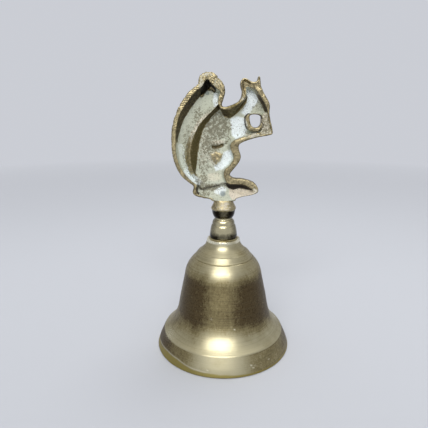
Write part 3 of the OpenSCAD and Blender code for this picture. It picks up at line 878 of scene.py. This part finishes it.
def squirrel_fields(settings, x, z):
    """The flat fields, over the XZ grid, that the casting is made of."""
    flat = np.stack([x, z], -1)
    lines = {name: curve_through(points, 5, False) for name, points in LINES.items()}
    tail_gap, along, side = line_distance(curve_through(TAIL_LINE, 6, False), x, z)
    across = tail_gap * side
    is_tail = fade(tail_gap, 4.6, 5.6) * ramp(z, 72.0, 76.0)
    is_tail = is_tail * (1 - ramp(x, -2.0, 1.5) * ramp(z, 90, 92) * (z < 101))
    swept = along + 0.9 * np.abs(across)
    strokes = np.sin(2 * math.pi * swept / FUR_PITCH + 1.4 * value_noise(flat, 3.0, 5))
    locks = np.abs(np.sin(math.pi * (along - 0.4 * across) / LOCK_PITCH + 0.6 * value_noise(flat, 6.0, 9)))
    edge = outline_distance(curve_through(OUTLINE), x, z)
    edge = edge + is_tail * (0.10 * strokes + 0.38 * (1 - locks) ** 2 * ramp(z, 90, 97))
    edge = edge + 0.10 * rough(flat, 1.3, 21)

    gap = outline_distance(curve_through(CHIN_GAP), x, z)
    zones = hollow_depth(settings, x, z, lines, edge, gap)
    tones = hollow_tones(zones, x, z, edge, gap)
    brow = ramp(-edge, 0.3, 1.1) * gate(z, 105.6, 120, 1.4) * ramp(x, 5.0, 6.6) * (1 - tones["chalk"])
    depth = np.maximum(zones.depth, brow * (0.25 + 1.5 * ramp(12.8 - x, 0, 5.0)))
    on_rim = fade(depth, 0.2, 0.8)
    depth = depth + 0.16 * rough(flat, 0.9, 31) * (1 - on_rim) + 0.20 * rough(flat, 1.4, 41) * on_rim
    depth = depth + is_tail * 0.12 * strokes * on_rim
    back = settings.rim_y + np.maximum(depth, 0)

    # The rim's outer edge is painted darker, as painted shade, where it faces right or down and where it
    # faces left low down; the DULL_RIM stretches are duller brass.
    tilt, lift = np.gradient(edge, settings.grain)
    edge_shade = ramp(0.55 * tilt - 0.85 * lift, -0.1, 0.6)
    edge_shade = np.maximum(edge_shade, 0.8 * ramp(-tilt, 0.2, 0.9) * fade(z, 90, 100))
    dull = patches(DULL_RIM, x + rough(flat, 1.3, 23), z) * on_rim
    tones["olive"] = most(tones["olive"], edge_shade * ramp(edge, -0.5, -0.15), dull)

    front = modelled_side(settings, x, z, tail_gap, along, strokes, is_tail)
    front = np.maximum(front, back + 1.3)
    blurred = softened(front, int(1.3 / settings.grain))
    hollows = ramp(blurred - front, 0.03, 0.34)
    return {"edge": edge, "back": back, "front": front, "gap": gap, "hollows": hollows, "tones": tones}


def stem_tarnish_and_shade(x, y, z):
    """Strength of the dark tarnish and painted shade on the turned foot and on the cone under the collar,
    lighter at the front and darker on the sides as a painted reflection.
    """
    bearing = np.degrees(np.arctan2(x, -y))
    wobble = rough(np.stack([x, y, z], -1), 1.6, 81)
    cone = gate(z + 0.25 * wobble, 56.4, 59.85, 0.35)
    foot = fade(z + 0.5 * wobble, 49.4, 51.2)
    front = np.exp(-(bearing / 26) ** 2)
    sides = 0.57 * gate(z, 46, 60, 1.0) * ramp(np.abs(bearing), 16, 60)
    return most(cone * (0.95 - 0.25 * front), foot * (0.84 - 0.2 * front), sides)


def sculpt_casting(settings):
    """The squirrel and its turned foot as one closed surface, with a reader for the flat fields behind it."""
    step = settings.grain
    x, y, z = (np.arange(low, high, step) for low, high in SCULPTING_BOX)
    flat = squirrel_fields(settings, *np.meshgrid(x, z, indexing="ij"))
    edge, back, front, gap = (flat[name][:, None, :] for name in ("edge", "back", "front", "gap"))
    depth = y[None, :, None]
    solid = smooth_max(edge, back - depth, 0.7)
    solid = smooth_max(solid, depth - front, 1.6)
    solid = smooth_max(solid, -gap, 0.5)
    heights, radii = np.array(STEM).T
    stem = np.hypot(x[:, None], y)[:, :, None] - np.interp(z, heights, radii)
    grid = np.stack(np.meshgrid(x, y, z, indexing="ij"), -1)
    stem = stem + 0.12 * ramp(z, 59.6, 60.2) * rough(grid, 1.1, 91, 2)
    stem = smooth_max(stem, z - heights[-1], 0.8)
    stem = smooth_max(stem, heights[0] - z, 0.3)
    solid = smooth_min(solid, stem, 0.6)

    def read(field, vertices):
        return sample(field, x, z, vertices[:, 0], vertices[:, 2])

    return surface_of(solid, (x[0], y[0], z[0]), step), flat, read


def casting_tones_and_shade(settings, flat, read, vertices):
    """Strength of each tone of the finish and of the painted shade at each vertex of the casting."""
    px, py, pz = vertices.T
    back_side = fade(py, 1.6, 2.4) * ramp(pz, 63.3, 64.3) * (read(flat["front"], vertices) - py > 0.9)
    masks = {name: back_side * read(tone, vertices) for name, tone in flat["tones"].items()}

    def add(name, strength):
        masks[name] = np.maximum(masks[name], strength)

    rim_side = ramp(read(flat["edge"], vertices), -0.45, -0.1) * ramp(py - settings.rim_y, 0.35, 0.9)
    add("olive", 0.85 * rim_side * ramp(pz, 63.4, 64.0))
    # Dark tarnish with painted shade and reflection on the turned foot and the cone.
    add("black_tarnish_and_shade", (pz < 61) * stem_tarnish_and_shade(px, py, pz))
    modelled = ramp(py - read(flat["back"], vertices), 0.6, 1.0) * ramp(pz, 63.6, 64.4) * (1 - rim_side)
    in_hollows = modelled * read(flat["hollows"], vertices)
    add("olive", in_hollows)
    add("grime_and_shade", 0.75 * ramp(in_hollows, 0.45, 1.0))
    add("chalk", 0.3 * ramp(in_hollows, 0.35, 0.7) * ramp(rough(vertices, 3.0, 97), -0.1, 0.4))
    bearing = np.degrees(np.arctan2(px, -py))
    # Pale polish on the collar, strongest towards the front, where it also stands in for a painted highlight.
    collar_polish_and_highlight = 0.5 * gate(pz, 60.1, 63.6, 0.4) * np.exp(-((bearing - 5) / 60) ** 2)
    add("chalk", collar_polish_and_highlight)
    add("beige", 1.4 * collar_polish_and_highlight)
    masks["turned"] = fade(pz, 59.4, 60.2)
    return masks


def cast_brass(settings):
    """Cast brass: bare on the rim, brown dirt and painted shade in the corners and under the rims, dried
    polish on the floors.
    """
    material, where = new_material("cast_brass")
    where = mapped(where, Rotation=(0.6, 0.4, 0.9))
    mask = vertex_masks(
        where.tree, "chalk", "grime_and_shade", "olive", "black_tarnish_and_shade", "speck", "white", "beige", "blue", "turned")
    sand = noise(where, 2400.0, 2.0, 0.6)
    grain = noise(where, 1300.0, 3.0, 0.65)
    pepper = noise(where, 1250.0, 5.0, 0.85)
    patch = noise(where, 480.0, 3.0, 0.6)

    def ragged(name, amount, low, high):
        return steps(mask[name] + (grain - 0.5) * amount, low, high)

    bare = blend(steps(patch, 0.35, 0.65), settings.brass, shade(settings.brass, 0.55))
    bare = blend(steps(grain, 0.50, 0.60) * 0.75, bare, shade(settings.brass, 0.26))
    bare = blend(mask["turned"], bare, FOOT_BRASS)
    polish = blend(ragged("beige", 0.5, 0.2, 0.8), settings.residue, BEIGE_POLISH)
    polish = blend(ragged("white", 0.7, 0.25, 0.75), polish, WHITE_POLISH)
    specks = steps(pepper + mask["speck"] * 0.15, 0.56, 0.62)
    polish = blend(specks * 0.85, polish, DARK_SPECK)
    polish = blend(steps(sand, 0.54, 0.68) * 0.35, polish, SANDY_SPECK)
    polish = blend(mask["blue"], polish, BLUE_STAIN)
    chalky = ragged("chalk", 1.1, 0.35, 0.60)
    dirt_and_shade = ragged("grime_and_shade", 0.8, 0.30, 0.75)
    # Olive film and painted shade over the bare brass.
    base = blend(ragged("olive", 1.5, 0.25, 0.95), bare, OLIVE_FILM_AND_SHADE)
    base = blend(chalky, base, polish)
    # Dirt and painted shade, in the tarnish colour.
    base = blend(dirt_and_shade, base, settings.tarnish_and_shade)
    # Blackest painted shade with tarnish.
    base = blend(ragged("black_tarnish_and_shade", 0.5, 0.15, 0.85), base, shade(settings.tarnish_and_shade, 0.22))
    metal = (1.0 - chalky) * (1.0 - dirt_and_shade * 0.7)
    gloss = steps(metal, 0.0, 1.0, 0.8, 0.42) - mask["turned"] * 0.17
    height = (grain + sand * 0.5) * (1.0 - mask["turned"] * 0.85)
    return finished(material, base, metal, gloss, height, 0.55, 0.0003)


class BELL_OT_casting(Operator):
    """Sculpt the squirrel casting with its turned foot"""
    bl_idname = "bell.casting"
    bl_label = "Squirrel Casting"

    def execute(self, context):
        settings = context.scene.squirrel_bell.casting
        (vertices, quads), flat, read = sculpt_casting(settings)
        casting = mesh_object("squirrel_casting", vertices, quads, cast_brass(settings))
        casting.modifiers.new("Thin Out", "DECIMATE").ratio = settings.kept_faces
        bake_modifiers(casting)
        add_masks(casting, casting_tones_and_shade(settings, flat, read, vertices_mm(casting)))
        place(casting, "bell", "squirrel_handle", "cast_brass")
        return {"FINISHED"}


# ---------------------------------------------------------------- cup

# Outside of the cup as height and radius: neck, raised band, shoulder down to the ridge, lip band.
CUP_NECK = [(47.0, 6.88), (46.2, 7.0), (45.4, 7.22), (44.6, 7.62), (44.0, 8.05), (43.3, 8.75), (42.6, 9.55),
    (42.0, 10.2)]
CUP_BAND = [(41.86, 10.56), (41.2, 11.08), (40.4, 11.7), (39.7, 12.3)]
CUP_SIDE = [(39.3, 12.72), (38.0, 13.8), (36.6, 14.8), (35.0, 15.6), (33.2, 16.15), (31.0, 16.55),
    (27.0, 17.4), (23.0, 18.25), (19.0, 19.0), (17.2, 19.35), (15.5, 19.8), (13.0, 20.8), (11.0, 22.1),
    (9.2, 23.65), (8.1, 24.85), (7.62, 25.45)]
CUP_LIP = [(7.3, 25.66), (5.0, 26.72), (3.0, 27.6), (1.2, 28.25), (0.5, 28.46)]
# Roots of the two turned lines.
LINE_ROOTS = ((42.02, 10.05), (39.5, 12.3))
# Brown bloom round the waist, laid also as painted dark reflection: bearing from the front and half width in
# degrees, and strength.
BLOOM_AND_DARK_REFLECTION = [(-50, 26, 1.0), (42, 24, 1.0), (70, 18, 0.95), (110, 20, 0.75), (163, 28, 0.95), (-160, 18, 0.7),
    (-108, 30, 0.95)]
# Upper edge of the yellow zone at the lip, yellow brass with a painted reflection that rises at the front
# left: bearing in degrees and height in mm.
YELLOW_AND_REFLECTION_EDGE = [(-180, 1.2), (-120, 1.6), (-80, 2.6), (-72, 2.8), (-57, 3.3), (-42, 3.1), (-34, 2.5),
    (-26, 2.0), (-17, 1.8), (-8, 1.7), (12, 1.3), (40, 1.0), (90, 1.4), (180, 1.2)]
# Nicks and bright specks: bearing in degrees, height and radius in mm.
SPECKS = [(22.9, 3.7, 0.3), (26.1, 3.4, 0.26), (23.9, 2.7, 0.16), (40.1, 3.5, 0.22), (-13.9, 2.7, 0.24),
    (-15.7, 19.6, 0.26), (-15.9, 11.9, 0.14), (12.0, 15.6, 0.2), (28.0, 12.4, 0.18), (96.0, 9.6, 0.24),
    (141.0, 22.0, 0.26), (-142.0, 5.0, 0.24), (-95.0, 14.0, 0.2), (175.0, 12.0, 0.22)]


def arc(centre, radius, start, end, count):
    """Points along an arc, angles in degrees."""
    angles = np.radians(np.linspace(start, end, count))
    return [(centre[0] + radius * math.cos(a), centre[1] + radius * math.sin(a)) for a in angles]


def cup_profile(settings):
    """Closed profile of the cup as radius and height, from the crown's hole over the lip and back inside."""
    bore, top, ceiling = STUD_BORE, 47.4, 45.2
    neck, band, side, lip_band = (
        curve_through(run, 8, False)[:, ::-1] for run in (CUP_NECK, CUP_BAND, CUP_SIDE, CUP_LIP))
    roots = [(r - settings.line_depth * 0.4, z) for z, r in LINE_ROOTS]
    outer = np.vstack([neck, roots[0], band, roots[1], side, lip_band])
    plain = np.vstack([neck[:-4:4], band[4:-4:6], side[4::4], lip_band[8::6]])
    step = np.gradient(plain, axis=0)
    inward = np.stack([step[:, 1], -step[:, 0]], 1) / np.hypot(*step.T)[:, None]
    inner = plain + settings.wall * inward
    inner = inner[(inner[:, 0] > 5.2) & (inner[:, 1] > 1.0) & (inner[:, 1] < 42.6)][::-1]
    inner = inner[np.concatenate([[True], np.diff(inner[:, 1]) > 0.02])]
    crown = [(r, top) for r in (bore, 3.0, 4.2, 5.4)] + arc((6.46, 46.98), 0.42, 90, 0, 7)
    lip = arc((28.0, 0.5), 0.5, 0, -90, 6) + [(27.3, 0.0)] + arc((26.8, 0.4), 0.4, 270, 180, 5)
    room = [(5.2, 42.8), (5.2, 45.0)] + [(r, ceiling) for r in (5.0, 3.5, bore)] + [(bore, 46.3), (bore, top)]
    return np.vstack([crown, outer[1:], lip, inner, room])


def cup_tones_and_reflection(vertices):
    """Strength of bloom and painted dark reflection, of lip yellow and painted reflection, and of bare bright
    metal and painted highlights at each vertex of the cup.
    """
    x, y, z = vertices.T
    radius = np.hypot(x, y)
    bearing = np.degrees(np.arctan2(x, -y))
    turn = np.abs(bearing)
    skin = np.interp(z, *np.array((CUP_SIDE + CUP_LIP)[::-1]).T)
    outside = np.maximum(ramp(radius - skin, -1.4, -0.6), ramp(z, 38.0, 39.0))
    under_ridge = fade(z, 7.1, 7.4)
    wobble = rough(vertices, 6.0, 51)
    fine = rough(vertices * (1, 1, 0.55), 2.2, 61)

    # Brown bloom with painted dark reflection: dense round the waist, thin above and below it, and patchy on
    # the lip band. By the bearing from the front it is painted lighter at the front of the lip band and
    # shoulder and darker on the left of the flare.
    bands = np.zeros(len(z))
    for centre, half, strength in BLOOM_AND_DARK_REFLECTION:
        away = np.abs((bearing - centre + 180) % 360 - 180) / half
        bands = np.maximum(bands, strength * fade(away, 0.35, 1.5))
    height = z + 1.6 * wobble + 0.8 * fine
    waist = ramp(height, 9.5, 20.0) * fade(height, 30.5, 37.0)
    side = ramp(np.abs(bearing + 4), 14, 38) * (1 - 0.4 * ramp(bearing, 10, 40) * fade(bearing, 80, 120))
    far_side = ramp(turn, 55, 85)
    on_band = 0.02 + 0.66 * side + 0.3 * far_side + 0.3 * ramp(-bearing, 42, 60)
    on_shoulder = 0.03 + 0.14 * gate(z, 35, 47, 1.0) + 0.06 * gate(z, 34, 40, 1.0)
    bloom_and_dark_reflection = waist * (0.50 + 0.52 * bands + 0.16 * fine) + 0.10 * ramp(wobble, 0.0, 0.6)
    bloom_and_dark_reflection = bloom_and_dark_reflection + 0.12 * (1 - waist) * gate(z, 8.0, 14.0, 1.5) * ramp(-bearing, 12, 40)
    bloom_and_dark_reflection = np.maximum(bloom_and_dark_reflection, under_ridge * on_band * (0.8 + 0.3 * wobble))
    bloom_and_dark_reflection = bloom_and_dark_reflection + (1 - waist) * (on_shoulder * ramp(turn, 14, 50) + 0.14 * far_side)

    # Yellow zone at the lip, partly painted reflection, with a painted highlight line over it.
    lip_edge = np.interp(bearing, *np.array(YELLOW_AND_REFLECTION_EDGE).T)
    yellow_and_reflection = ramp(lip_edge + 0.25 * fine - z, -0.1, 0.4) * outside
    line = np.exp(-((z - lip_edge - 0.15) / 0.22) ** 2) * ramp(-bearing, 8, 20) * ramp(bearing, -84, -74)

    # Bare bright metal with painted highlights: that line, which is a painted highlight, nicks, a scratched
    # spot over the ridge, and the crown's edge, worn bright and painted brighter on the front left and the
    # right as a painted reflection.
    bare = [0.5 * line * under_ridge]
    for centre, level, size in SPECKS:
        gap = np.hypot(np.radians(bearing - centre) * radius, z - level)
        bare.append(fade(gap, size * 0.6, size * 1.5))
    scratch = np.abs(((bearing + 67) * 0.34 + (z - 8.2) * 0.9 + 0.5 * fine) % 0.9 - 0.45)
    scored = np.exp(-((bearing + 66) / 8.0) ** 2 - ((z - 8.3) / 1.5) ** 2)
    crown = ramp(z + 0.15 * fine, 46.1, 46.6) * ramp(radius, 5.6, 5.9)
    glint_side = np.maximum(gate(bearing, -100, 20, 15), gate(bearing, 45, 80, 10))
    bare += [0.75 * scored * fade(scratch, 0.08, 0.2), crown * (0.3 + 0.7 * glint_side)]
    return {"bloom_and_dark_reflection": bloom_and_dark_reflection * outside, "yellow_and_reflection": yellow_and_reflection, "bright": most(*bare) * outside, "inner": 1 - outside}


def turned_brass(settings):
    """Satin turned brass: lathe lines, brown bloom with painted dark reflection, specks, a yellow lip with
    painted reflection, and bare bright edges with painted highlights.
    """
    material, where = new_material("turned_brass")
    mask = vertex_masks(where.tree, "bloom_and_dark_reflection", "yellow_and_reflection", "bright", "inner")
    lines = noise(mapped(where, Scale=(40.0, 40.0, 3600.0)), 1.0, 3.0, 0.6)
    mottle = noise(mapped(where, Scale=(1200.0, 1200.0, 640.0)), 1.0, 4.0, 0.65)
    grain = noise(where, 2100.0, 2.0, 0.6)
    flecks = steps(noise(where, 1500.0, 5.0, 0.8), 0.53, 0.62) * 0.6
    sway = (mottle - 0.5) * 1.5 + (flecks + steps(lines, 0.48, 0.66) * 0.4)
    dark = mask["bloom_and_dark_reflection"] + sway * mask["bloom_and_dark_reflection"]
    brown = blend(steps(grain, 0.50, 0.66), settings.tarnish_and_shade, shade(settings.tarnish_and_shade, 0.5))
    # Olive and brown bloom, with painted dark reflection.
    base = blend(steps(dark, 0.02, 0.40), settings.brass, settings.olive)
    base = blend(steps(dark, 0.34, 0.95), base, brown)
    # Yellow lip, partly painted reflection.
    base = blend(mask["yellow_and_reflection"] * 0.95, base, settings.lip)
    base = blend(steps(lines, 0.50, 0.72) * 0.22, base, shade(settings.brass, 0.45))
    base = blend(mask["inner"], base, shade(settings.lip, 0.45))
    # Bare bright metal, with painted highlights on the lip line and on the crown's edge.
    base = blend(mask["bright"], base, (0.80, 0.76, 0.58))
    gloss = dark * 0.10 + mottle * 0.10 - mask["bright"] * 0.12 + 0.33
    around = wire(where.tree, "ShaderNodeTangent", direction_type="RADIAL", axis="Z")
    return finished(material, base, 1.0, gloss, lines + grain * 0.6, 0.22, 0.0001, **{
        "Anisotropic": 0.5, "Anisotropic Rotation": 0.25, "Tangent": around})


class BELL_OT_cup(Operator):
    """Turn the cup of the bell"""
    bl_idname = "bell.cup"
    bl_label = "Bell Cup"

    def execute(self, context):
        settings = context.scene.squirrel_bell.cup
        cup = turned("bell_cup_turned", cup_profile(settings), turned_brass(settings),
                     settings.segments, crease=math.radians(50))
        add_masks(cup, cup_tones_and_reflection(vertices_mm(cup)))
        place(cup, "bell", "bell_cup", "turned_brass")
        return {"FINISHED"}


# ---------------------------------------------------------------- fastenings and clapper

# Heights of the drilled eyes of stud and rod, and half their thickness, in mm.
STUD_EYE = 37.0
ROD_EYE = 27.4
EYE_HALF = 0.8
# Brass of the small turned pieces: bright colour, dull colour and roughness.
SMALL_BRASS = {
    "washer_brass": ((0.62, 0.55, 0.34), (0.34, 0.27, 0.13), 0.42),
    "nut_brass": ((0.60, 0.47, 0.22), (0.30, 0.21, 0.09), 0.38),
    "ball_brass": ((0.58, 0.47, 0.24), (0.28, 0.21, 0.10), 0.40)}


def plain_brass(name):
    """Brass of a small turned piece."""
    return plain_metal(name, *SMALL_BRASS[name])

def plain_steel(name, settings, dullness, gloss):
    """Plated steel with duller blotches."""
    return plain_metal(name, settings.steel, shade(settings.steel, dullness), gloss)


def washer(name, node, chamfer, material):
    """Flat ring with small chamfers that fills a washer's node."""
    inner, c = STUD_BORE, chamfer
    (_, _, low), (outer, _, high) = box_mm(node)
    return turned(name, [
        (inner, high), (outer - c, high), (outer, high - c), (outer, low + c), (outer - c, low),
        (inner + c, low), (inner, low + c), (inner, high)], material)


def fine_grid(node, half_x, half_y):
    """Sampling grid over a node's height: its coordinate fields, its origin and its step."""
    step = 0.11
    low, high = box_mm(node)
    x, y = (np.arange(-half, half + step, step) for half in (half_x, half_y))
    z = np.arange(low[2] - 0.5, high[2] + 0.6, step)
    return np.meshgrid(x, y, z, indexing="ij"), (x[0], y[0], z[0]), step


def drilled_eye(across, through, z, pivot):
    """Round eye at the height of a pivot, and the hole drilled through it."""
    radius, hole = 2.1, 1.1
    out = np.hypot(across, z - pivot)
    return smooth_max(out - radius, np.abs(through) - EYE_HALF, 0.35), hole - out


def stud_surface(settings):
    """Surface of the threaded stud with its drilled tongue."""
    top = box_mm("hanger_stud")[1][2]
    radius, shoulder = 2.0, 40.1
    (x, y, z), origin, step = fine_grid("hanger_stud", 2.4, 2.4)
    axis_gap = np.hypot(x, y) - radius
    turn = np.arctan2(y, x) / (2 * math.pi)
    wave = np.abs(((z / settings.pitch - turn) % 1.0) - 0.5) * 2
    shank = axis_gap + settings.thread_depth * wave * ramp(z, 40.2, 40.8)
    shank = smooth_max(smooth_max(shank, shoulder - z, 0.3), z - top, 0.3)
    tongue, hole = drilled_eye(x, y, z, STUD_EYE)
    neck = smooth_max(np.abs(y) - EYE_HALF, np.maximum(axis_gap, np.abs(z - 38.8) - 1.6), 0.3)
    solid = smooth_min(smooth_min(tongue, neck, 0.3), shank, 0.8)
    return surface_of(smooth_max(solid, hole, 0.35), origin, step)


def rod_surface():
    """Surface of the clapper rod with its drilled eye."""
    low = box_mm("clapper_rod")[0][2]
    radius, neck = 1.2, 25.9
    (x, y, z), origin, step = fine_grid("clapper_rod", 1.9, 2.6)
    rod = smooth_max(smooth_max(np.hypot(x, y) - radius, low - z, 0.2), z - neck, 0.3)
    eye, hole = drilled_eye(y, x, z, ROD_EYE)
    return surface_of(smooth_max(smooth_min(rod, eye, 1.2), hole, 0.35), origin, step)


def link_path():
    """Course of the link's wire: two rings at right angles with a twisted waist between them."""
    middle, reach, ring = 32.2, 4.8, 2.4
    t = np.linspace(0, 2 * math.pi, 96, endpoint=False)
    z = middle + reach * np.cos(t)
    upper, lower = (np.sqrt(np.maximum(ring**2 - (z - centre) ** 2, 0)) for centre in (34.6, 29.8))
    half = np.maximum(upper, lower)
    half = np.where(np.abs(z - middle) > 4.0, half, smooth_max(half, 0.78, 0.8))
    half = half * np.sign(np.sin(t) + 1e-9)
    twist = math.pi / 2 * ramp(z, 31.2, 33.2)
    return np.stack([half * np.cos(twist), half * np.sin(twist), z], 1)


class BELL_OT_fastening(Operator):
    """Make the washers, the nut and the stud that hold handle and cup together"""
    bl_idname = "bell.fastening"
    bl_label = "Washers, Nut and Stud"

    def execute(self, context):
        settings = context.scene.squirrel_bell.fastening
        seat = washer("seat_washer_turned", "seat_washer", 0.08, plain_brass("washer_brass"))
        place(seat, "bell", "seat_washer", "washer_brass")
        steel = plain_steel("washer_steel", settings, 0.55, 0.36)
        pressed = washer("crown_washer_pressed", "crown_washer", 0.15, steel)
        place(pressed, "bell", "crown_washer", "washer_steel")
        (_, _, low), (corner, _, high) = box_mm("clamp_nut")
        corner += 0.02
        profile = [(2.05, high), (3.1, high), (corner, high - 0.5), (corner, low + 0.5), (3.1, low),
                   (2.35, low), (2.05, low + 0.3), (2.05, high)]
        across_flats = 7.0
        nut = turned("clamp_nut_cut", profile, plain_brass("nut_brass"), 96, across_flats, math.radians(25))
        place(nut, "bell", "clamp_nut", "nut_brass")
        steel = plain_steel("stud_steel", settings, 0.5, 0.34)
        stud = mesh_object("hanger_stud_cut", *stud_surface(settings), steel)
        place(stud, "bell", "hanger_stud", "stud_steel")
        return {"FINISHED"}


class BELL_OT_clapper(Operator):
    """Make the wire link, the clapper rod and the ball"""
    bl_idname = "bell.clapper"
    bl_label = "Link and Clapper"

    def execute(self, context):
        settings = context.scene.squirrel_bell.fastening
        steel = plain_steel("wire_steel", settings, 0.55, 0.3)
        link = grown("hanger_link_bent", wire_tree(), link_path(), True, {
            "Wire Radius": 0.7 * MM, "Sides": 20, "Material": steel})
        place(link, "link", "hanger_link", "wire_steel")
        rod = mesh_object("clapper_rod_forged", *rod_surface(), plain_steel("rod_steel", settings, 0.5, 0.4))
        place(rod, "clapper", "clapper_rod", "rod_steel")
        middle, radius = 8.5, 5.0
        bore = [(0.0, middle + 4.5), (1.2, middle + 4.5), (1.25, middle + 4.6), (1.45, middle + 4.78)]
        upper, lower = (arc((0, middle), radius, *turn) for turn in ((72, 2, 24), (-2, -84, 26)))
        flat_end = [(0.4, middle - 4.97), (0.0, middle - 4.97)]
        profile = bore + upper + [(4.95, middle)] + lower + flat_end
        ball = turned("clapper_ball_turned", profile, plain_brass("ball_brass"), 64)
        place(ball, "clapper", "clapper_ball", "ball_brass")
        return {"FINISHED"}


# ---------------------------------------------------------------- stage

def floor_surface():
    """Round floor that curves up into a low wall, as vertices in mm and faces."""
    sides, flat_reach, cove, wall_top = 128, 1.0, 0.4, 0.8
    bend = [(i / 10 * flat_reach, 0.0) for i in range(1, 11)]
    bend += [(flat_reach + cove * math.sin(a), cove - cove * math.cos(a))
             for a in np.linspace(0, math.pi / 2, 16)[1:]]
    bend += [(flat_reach + cove, 0.6), (flat_reach + cove, wall_top)]
    around = np.arange(sides) * 2 * math.pi / sides
    vertices = [(0.0, 0.0, 0.0)]
    vertices += [(r * math.cos(a) / MM, r * math.sin(a) / MM, z / MM) for r, z in bend for a in around]
    faces = [(0, 1 + i, 1 + (i + 1) % sides) for i in range(sides)]
    for low in range(1, 1 + sides * (len(bend) - 1), sides):
        high = low + sides
        faces += [(low + i, high + i, high + (i + 1) % sides, low + (i + 1) % sides) for i in range(sides)]
    return vertices, faces


def floor_finish(settings):
    """Plain floor, evenly bright under the key lamp, that turns to the backdrop's colour in the distance."""
    lamp_foot = (-0.10, -0.62, 0.0)
    material, where = new_material("floor")
    tree = where.tree
    from_lamp = wire(
        tree, "ShaderNodeVectorMath", {0: where, 1: lamp_foot}, take="Value", operation="DISTANCE")
    from_bell = wire(tree, "ShaderNodeVectorMath", {0: where}, take="Value", operation="LENGTH")
    near = steps(from_lamp, 0.10, 0.75, 0.48, 1.0, "SMOOTHSTEP")
    far = steps(from_bell, 0.7, 1.45, 1.0, 1.45, "SMOOTHSTEP")
    pale = blend(near * far, (0, 0, 0), settings.floor)
    shader = wire(tree, "ShaderNodeBsdfPrincipled", {"Base Color": pale, "Roughness": 0.8})
    camera, glossy, through = wire(
        tree, "ShaderNodeLightPath", take=["Is Camera Ray", "Is Glossy Ray", "Is Transmission Ray"])
    seen = camera.greater(glossy).greater(through)
    haze = wire(tree, "ShaderNodeEmission", {"Color": settings.backdrop, "Strength": 1.0})
    both = wire(tree, "ShaderNodeMixShader", {0: seen * steps(from_bell, 0.28, 0.75), 1: shader, 2: haze})
    wire(tree, "ShaderNodeOutputMaterial", {"Surface": both})
    return material


def studio_world():
    """Soft light from a pale ceiling, with a darker room in front of the bell."""
    world = bpy.data.worlds.new("studio")
    world.use_nodes = True
    tree = world.node_tree
    tree.nodes.clear()
    toward = wire(tree, "ShaderNodeTexCoord", take="Generated")
    back, up = wire(tree, "ShaderNodeSeparateXYZ", {"Vector": toward}, take=["Y", "Z"])
    sky = blend(steps(back, -0.2, 0.6), (0.10, 0.10, 0.10), (0.55, 0.55, 0.57))
    sky = blend(steps(up, 0.30, 0.45), (0.50, 0.525, 0.57), sky)
    sky = blend(steps(up, 0.45, 0.8), sky, (0.87, 0.87, 0.87))
    light = wire(tree, "ShaderNodeBackground", {"Color": sky, "Strength": 1.0})
    wire(tree, "ShaderNodeOutputWorld", {"Surface": light})
    return world


def area_lamp(name, place_m, target, size, power):
    """Soft oval lamp that looks at a point."""
    lamp = bpy.data.lights.new(name, "AREA")
    lamp.shape = "ELLIPSE"
    lamp.size, lamp.size_y = size
    lamp.energy = power
    made = new_object(name, lamp)
    made.location = place_m
    made.rotation_euler = (Vector(target) - Vector(place_m)).to_track_quat("-Z", "Y").to_euler()


class BELL_OT_stage(Operator):
    """Set up the floor, the lamps and the camera"""
    bl_idname = "bell.stage"
    bl_label = "Stage"

    def execute(self, context):
        settings = context.scene.squirrel_bell.stage
        scene = context.scene
        floor = mesh_object("floor", *floor_surface(), floor_finish(settings))
        scene.world = studio_world()
        area_lamp("key", (-0.10, -0.75, 0.72), (0, 0, 0.05), (0.95, 0.42), 7.0)
        area_lamp("fill", (0.14, 0.20, 0.72), (0, 0, 0.06), (0.3, 0.3), 1.2)
        lens = bpy.data.cameras.new("camera")
        lens.lens = settings.lens
        lens.sensor_width = 36.0
        lens.clip_start, lens.clip_end = 0.01, 10.0
        camera = new_object("camera", lens)
        camera.location = settings.camera_place
        camera.rotation_euler = (math.pi / 2 - settings.camera_tilt, 0, 0)
        scene.camera = camera
        scene.view_settings.view_transform = "Standard"
        return {"FINISHED"}


class BELL_PT_panel(Panel):
    """Lists the pieces of the bell"""
    bl_idname = "BELL_PT_panel"
    bl_label = "Squirrel Bell"
    bl_space_type = "VIEW_3D"
    bl_region_type = "UI"
    bl_category = "Squirrel Bell"

    def draw(self, context):
        for operator in OPERATORS:
            self.layout.operator(operator.bl_idname)


OPERATORS = (BELL_OT_casting, BELL_OT_cup, BELL_OT_fastening, BELL_OT_clapper, BELL_OT_stage)
SETTINGS = (CastingSettings, CupSettings, FasteningSettings, StageSettings, BellSettings)
CLASSES = (*SETTINGS, *OPERATORS, BELL_PT_panel)


def register():
    for cls in CLASSES:
        bpy.utils.register_class(cls)
    bpy.types.Scene.squirrel_bell = PointerProperty(type=BellSettings)


def unregister():
    del bpy.types.Scene.squirrel_bell
    for cls in reversed(CLASSES):
        bpy.utils.unregister_class(cls)


def main():
    register()
    bpy.ops.bell.casting()
    bpy.ops.bell.cup()
    bpy.ops.bell.fastening()
    bpy.ops.bell.clapper()
    bpy.ops.bell.stage()


if __name__ == "__main__":
    main()
